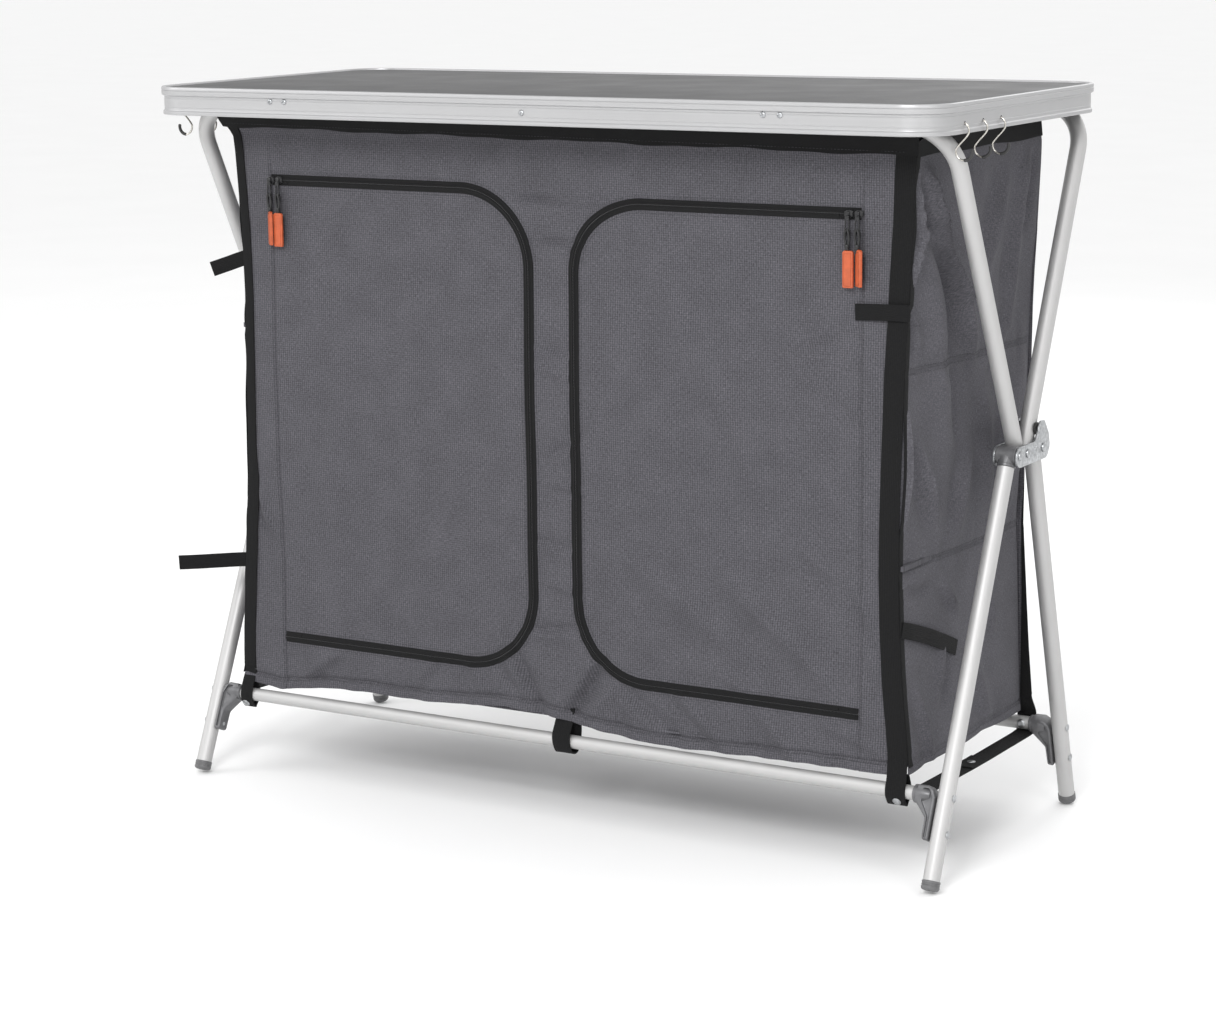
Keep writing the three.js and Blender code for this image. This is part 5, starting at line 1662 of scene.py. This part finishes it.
def tape(name, near, far):
    """A zip tape between two routes on the front."""
    rings = np.array([on_front(near + (far - near) * share, lift) for share, lift in tape_section])
    return loft(name, rings.transpose(1, 0, 2), looks["tape"], crisp=50.0)


def make_zips():
    for hand, side in HANDS:
        fixed = tape(f"zip_tape_{hand}", door_route(side, tape_gap, zip_end_x),
                     door_route(side, tape_half, zip_end_x))
        coil_line = on_front(door_route(side, 0.0, zip_end_x), 0.9)
        coil = grown(rows_base("coil", [coil_line]), trees["coil"], looks["coil"])
        near = door_route(side, -tape_gap, zip_end_x)
        far = door_route(side, -tape_half, zip_end_x)
        beyond_door = np.abs(near[:, 0]) > door_outer - 2.0
        outer_ends = []
        for rank in (slice(0, 8), slice(-8, None)):
            keep = beyond_door[rank]
            outer_ends.append(tape("tape_end", near[rank][keep], far[rank][keep]))
        panel_part = merged(f"zip_on_front_{hand}", [fixed, coil] + outer_ends)
        settled(panel_part, "worktop", "webbing")
        gathers(panel_part)
        leaf = tape(f"zip_on_door_{hand}", door_route(side, -tape_gap, door_outer - zip_gap),
                    door_route(side, -tape_half, door_outer - zip_gap))
        settled(leaf, f"door_leaf_{hand}", "webbing")
        gathers(leaf)


def facing_front(origin):
    """The place of a drawing that faces the front."""
    return placed(origin, (1, 0, 0), (0, 0, 1))


def make_sliders():
    for hand, side in HANDS:
        for rank in ("leading", "trailing"):
            low, high = node_box(f"zip_slider_{hand}_{rank}")
            x, z = (low[0] + high[0]) / 2, (low[2] + high[2]) / 2
            z -= float(sag(x, z))
            outline = filleted([(-4.8, -2.2, 1.2), (-1.8, -4.2, 1.5), (1.8, -4.2, 1.5), (4.8, -2.2, 1.2),
                                (4.8, 2.2, 1.2), (1.8, 4.2, 1.5), (-1.8, 4.2, 1.5), (-4.8, 2.2, 1.2)])
            plates = [flat_plate("plate", [outline], 1.1, 0.4, facing_front((x, front_y - lift, z)),
                                 looks["slider"]) for lift in (1.0, 3.2)]
            stem = turned("stem", [(0.8, 1.3), (3.4, 1.3)], looks["slider"], (x - 2.6 * side, front_y, z),
                          (0, -1, 0), sides=16)
            bridge_points = [(x, front_y - 3.4, z + 3.2), (x, front_y - 4.6, z + 2.2), (x, front_y - 5.0, z),
                             (x, front_y - 4.7, z - 2.2), (x, front_y - 3.6, z - 3.4)]
            bridge = strap("bridge", smooth_route(bridge_points), 2.4, 0.8, looks["slider"])
            slider = merged(f"slider_{hand}_{rank}_body", plates + [stem, bridge])
            settled(slider, f"slider_{hand}_{rank}", "webbing", f"zip_slider_{hand}_{rank}")
            gathers(slider)
            make_pull(hand, side, rank, x)


# The tag behind each pair's first one hangs turned from it
trailing_tag_turn = math.radians(-42)
cord_radius = 1.4
tag_thickness = 3.6


def turned_about(piece, x, y, angle):
    """The piece turned about an upright line."""
    place = Matrix.Translation((x * MM, y * MM, 0)) @ Matrix.Rotation(angle, 4, "Z") @ Matrix.Translation(
        (-x * MM, -y * MM, 0))
    piece.data.transform(place)


def make_pull(hand, side, rank, x):
    """A black loop hangs from the slider and carries a bound cord and a moulded orange tag."""
    pivot = joint_place(f"tag_{hand}_{rank}_swing")
    y, top = pivot[1], pivot[2] - float(sag(x, pivot[2]))
    front = facing_front((x, y, top))
    plate_edge = filleted([(-3.2, -16.5, 1.8), (3.2, -16.5, 1.8), (2.4, 0.6, 1.5), (-2.4, 0.6, 1.5)])
    window = filleted([(-1.6, -13.4, 1.0), (1.6, -13.4, 1.0), (1.0, -4.0, 0.7), (-1.0, -4.0, 0.7)])
    link = [flat_plate("plate", [plate_edge, window], 1.8, 0.5, front, looks["slider"])]
    for sign in (-1, 1):
        points = [(x + sign * 0.8, y - 1.2, top - 14.0), (x + sign * 2.0, y - 1.0, top - 17.5),
                  (x + sign * 2.4, y, top - 24.0), (x + sign * 1.5, y + 0.1, top - 30.0),
                  (x + sign * 1.2, y, top - 39.0)]
        behind = [(a, 2 * y - b + 0.2, c) for a, b, c in points]
        link.append(tube("cord", smooth_route(points), cord_radius, looks["cord"], sides=12))
        link.append(tube("cord_back", smooth_route(behind), cord_radius, looks["cord"], sides=12))
    knot = [(-36.4, 1.6), (-36.0, 2.5), (-35.0, 2.9), (-33.6, 2.6), (-32.8, 2.9), (-31.4, 2.9), (-30.2, 2.3),
            (-29.8, 1.2)]
    link.append(turned("knot", knot, looks["cord"], (x, y, top), (0, 0, 1), (1, 0, 0), sides=20))
    outline = filleted([(-6.2, -75.8, 1.4), (6.2, -75.8, 1.4), (6.2, -37.4, 1.4), (4.4, -35.8, 1.0),
                        (-4.4, -35.8, 1.0), (-6.2, -37.4, 1.4)])
    tag = flat_plate("tag", [outline], tag_thickness, 0.8, front, looks["tag"])
    border = filleted([(-4.6, -74.0, 0.8), (4.6, -74.0, 0.8), (4.6, -38.0, 0.8), (-4.6, -38.0, 0.8)])
    inside = filleted([(-4.0, -73.4, 0.5), (4.0, -73.4, 0.5), (4.0, -38.6, 0.5), (-4.0, -38.6, 0.5)])
    cuts = []
    for sign in (-1, 1):
        face = facing_front((x, y + sign * tag_thickness / 2, top))
        cuts.append(flat_plate("groove", [border, inside], 0.9, 0.1, face, looks["tag"]))
    tag = combined(tag, cuts, "DIFFERENCE")
    shift = (1.2 + side * 0.6, -0.8, -0.8)
    if rank == "trailing":
        turned_about(tag, x, y, trailing_tag_turn)
        shift = (2.2 + side * 0.6, -1.6, 0.8)
    tag.data.transform(Matrix.Translation(Vector(shift) * MM))
    made = merged(f"pull_{hand}_{rank}", link + [tag])
    settled(made, f"tag_{hand}_{rank}", "tag", f"pull_tag_{hand}_{rank}")
    gathers(made)


make_zips()
make_sliders()


# Webbing, loops and tabs

# Sizes of the webbing
webbing_wall = 1.3
binding_wall = 1.2
wide_webbing = 24.0
narrow_webbing = 12.5
# The rear webbing's outer edge: heights, and distances from the middle there
rear_webbing_heights = [130, 190, 250, 350]
rear_webbing_edges = [462.4, 457.5, 453.6, 448.5]
# The front webbing's loop round its bar and the rear one's end, from the bar's middle: y out and height
front_loop = [(-4.5, 15), (-8.4, 4), (-8.2, -5), (-4.4, -11.5), (-1.2, -15.5), (1.6, -12.0), (7.4, -5.5),
              (8.8, 3), (5.6, 12), (2.6, 19)]
rear_end = [(8.8, 14), (9.2, 5), (9.2, -4), (8.6, -10)]


def corner_route(side, facing, bar, top_z, width):
    """Down a corner and round the front bar, or down behind the rear one."""
    route = []
    for z in np.arange(top_z, 128.0, -6.0):
        if facing < 0:
            x = edge_x(z, side) - side * (width / 2 - 1.0)
            y = float(front_face(x, z)) - webbing_wall * (0.3 if z > band_low(x) - 3 else 0.9)
        else:
            x = side * (np.interp(z, rear_webbing_heights, rear_webbing_edges) - width / 2)
            y = float(back_face(x, z)) + webbing_wall * (0.3 if z > band_z else 0.8)
        route.append((x, y, z))
    end_x = route[-1][0] + (side if facing < 0 else 0)
    route += [(end_x, bar[1] + y, bar[2] + z) for y, z in (front_loop if facing < 0 else rear_end)]
    return smooth_route(route, 3)


def sewn_strap(name, route, width, wall, across=(1, 0, 0), wider=0.0):
    """A strap of webbing that hangs from the worktop."""
    made = strap(name, route, width, wall, looks["webbing"], across, wider)
    settled(made, "worktop", "webbing")
    gathers(made)
    return made


def make_corner_webbing():
    for hand, side in HANDS:
        for which, facing, bar in (("front", -1, front_bar_place), ("rear", 1, rear_bar_place)):
            narrow = side < 0 and facing < 0
            width = narrow_webbing if narrow else wide_webbing
            route = corner_route(side, facing, bar, float(band_low(side * side_x)) + 6.0, width)
            wider = 5.0 * smooth_step((420 - route[:, 2]) / 80.0) if narrow else 0.0
            made = sewn_strap(f"{which}_webbing_{hand}", route, width, webbing_wall, wider=wider)
            low_x = route[np.argmin(route[:, 2])][0]
            heads = [((low_x + side * 1.0, bar[1] - 5.6, bar[2] - 11.0), (0, -1, -0.7))]
            if facing > 0:
                heads = [((low_x, bar[1] - bar_radius - 0.2, bar[2] + 0.5), (0, -1, 0.1)),
                         ((low_x, bar[1] + bar_radius + 2.0, bar[2] + 0.5), (0, 1, 0))]
            stud = rivets(f"{which}_webbing_rivet_{hand}", heads, "worktop", head_radius=4.0, head_height=1.0,
                          flange_radius=5.0, flange_height=0.9)
            gathers(stud)


def make_side_binding():
    """The webbing's inner half, folded round the front corner onto the side."""
    for hand, side in HANDS:
        width = 10.0 if side > 0 else 20.0
        route = []
        for z in np.arange(band_z + 11.0, 120.0, -8.0):
            y = front_y + width / 2 - 0.8
            x = side * (float(side_face(y, z, side)) + (0.1 if z > band_z else 0.5))
            route.append((x, y, z))
        made = sewn_strap(f"corner_binding_{hand}", smooth_route(route, 2), width, binding_wall,
                          (0, 1, 0))


middle_loop_x = 10.0
# The middle loop's way round the front bar, from the bar's middle
middle_loop_round = [
    (0, -3.5, 18), (0, -8.2, 9), (0.5, -9.2, 1), (1, -7.2, -7), (2, -3.5, -12.5), (3, 3.5, -12.5),
    (4, 8.6, -5), (5, 9.2, 4), (6, 8.8, 14), (6, 8.2, 27)]


def make_middle_loop():
    """The short strap that ties the front's middle to the front bar."""
    points = [(middle_loop_x, front_y + 3.0, 137), (middle_loop_x, front_y + 1.8, 128)]
    bar_y, bar_z = front_bar_place[1:]
    points += [(middle_loop_x + x, bar_y + y, bar_z + z) for x, y, z in middle_loop_round]
    route = smooth_route(points, 5)
    made = sewn_strap("middle_loop", route, wide_webbing, 1.6)


tab_width = 18.0
tab_wall = 1.5
# The tabs' ways: x, distance back from the front, and height
tab_routes = {
    "left_upper": [(-428, 4, 644), (-440, 0, 640.5), (-456, -6, 634.5), (-474, -13, 628)],
    "left_lower": [(-438, 4, 268.5), (-454, -2, 268.5), (-480, -16, 267), (-503, -28, 265.5),
                   (-523, -38, 264.5)],
    "right_upper": [(450, -3.6, 625), (432, -4.6, 625), (408, -3.8, 624.2), (386, -4.4, 623.4)],
}
# The right lower tab's way along the side: y and height
side_tab_route = [(-150, 278), (-130, 272), (-100, 262), (-60, 247), (-22, 232)]


def make_tab(name, points, across):
    route = smooth_route(points, 6)
    made = sewn_strap(name, route, tab_width, tab_wall, across)


def make_tabs():
    """Hook-and-loop tabs that hold the rolled doors."""
    for name, points in tab_routes.items():
        make_tab(f"tab_{name}", [(x, front_y + y, z) for x, y, z in points], (0, 0, 1))
    points = [(float(side_face(y, z, 1)) + 2.2 + 2.0 * math.sin(k), y, z)
              for k, (y, z) in enumerate(side_tab_route)]
    make_tab("tab_right_lower", points, (0, 0.25, 1))


# Sizes of the tie straps
tie_wall = 1.4
tie_wrap_radius = 11.2
tie_front_x, tie_rear_x = 465.7, 451.7
# The long length of a tie strap up to the rear bar, and the short one that laps it at the stud
tie_long = [(tie_front_x, -144.9, 88.5), (tie_front_x, -142.4, 95.5), (tie_front_x, -139.0, 99.5),
            (tie_front_x - 1, -128.0, 99.6), (463, -80.0, 97.6), (459, 0.0, 93.5), (455, 90.0, 90.4),
            (tie_rear_x + 0.5, 150.0, 88.4)]
tie_lap = [(460.4, -30.0, 96.6), (459.2, 0.0, 95.1), (457.9, 26.0, 94.1)]


def make_tie_straps():
    """From behind the front bracket to round the rear bar, in two lengths joined by a press stud."""
    wrap = [(tie_rear_x, y, z) for y, z in arc(tie_wrap_radius, rear_bar_place[1:], range(-90, 51, 20))]
    for hand, side in HANDS:
        route = smooth_route([(side * x, y, z) for x, y, z in tie_long + wrap], 5)
        band = strap("band", route, wide_webbing, tie_wall, looks["webbing"])
        lap = smooth_route([(side * x, y, z) for x, y, z in tie_lap], 4)
        second = strap("second", lap, wide_webbing, tie_wall, looks["webbing"])
        made = merged(f"tie_band_{hand}", [band, second])
        settled(made, "front_legs", "webbing", f"tie_strap_{hand}")
        gathers(made)
        studs = [((side * 459.6, -4.0, 96.2), (0, 0, 1)), ((side * 462.0, -4.0, 92.4), (side * 0.3, 0, -1))]
        stud = rivets(f"tie_stud_{hand}", studs, "front_legs", head_radius=3.8, head_height=1.4,
                      flange_radius=4.8)
        gathers(stud)


make_corner_webbing()
make_side_binding()
make_middle_loop()
make_tabs()
make_tie_straps()


# Stitching

# How far a row of stitches lies off the cloth, beside a zip's tape and beside a shelf's seam
stitch_lift = 0.1
beside_tape = 3.0
beside_seam = 3.4
row_pitch = 6.0
side_hem_stitches_z = 126.5
seam_rows = [seam + shift for seam in shelf_seams for shift in (-beside_seam, beside_seam)]


def make_front_stitching():
    rows = []
    for _, side in HANDS:
        rows.append(on_front(door_route(side, tape_half + beside_tape, zip_end_x - 1), stitch_lift))
        rows.append(on_front([(side * (seam_x + 2.6), z) for z in np.arange(128, band_z, row_pitch)], 0.05))
    hem = [(x, float(hem_z(x)) + 10.0) for x in np.arange(-440, 441, row_pitch)]
    rows.append(on_front(hem, stitch_lift))
    band = [(x, float(band_low(x)) + 4.0) for x in np.arange(-446, 447, row_pitch)]
    rows.append(on_front(band, 2.0))
    gathers(stitches("front_stitching", rows, "worktop"))


def make_side_stitching():
    """Rows beside the shelves' seams, round the sides and the back, and along the sides' hems."""
    rows = []
    depths = np.arange(front_y + 12, back_y - 8, 5.0)
    for _, side in HANDS:
        for z in seam_rows + [side_hem_stitches_z]:
            rows.append([(side * (float(side_face(y, z, side)) + stitch_lift), y, z) for y in depths])
    for z in seam_rows:
        rows.append([(x, float(back_face(x, z)) + stitch_lift, z) for x in np.arange(-440, 441, row_pitch)])
    gathers(stitches("side_stitching", rows, "worktop"))


def make_door_stitching():
    for hand, side in HANDS:
        row = on_front(door_route(side, -tape_half - beside_tape, door_outer - 2), stitch_lift)
        gathers(stitches(f"door_stitching_{hand}", [row], f"door_leaf_{hand}"))


make_front_stitching()
make_side_stitching()
make_door_stitching()
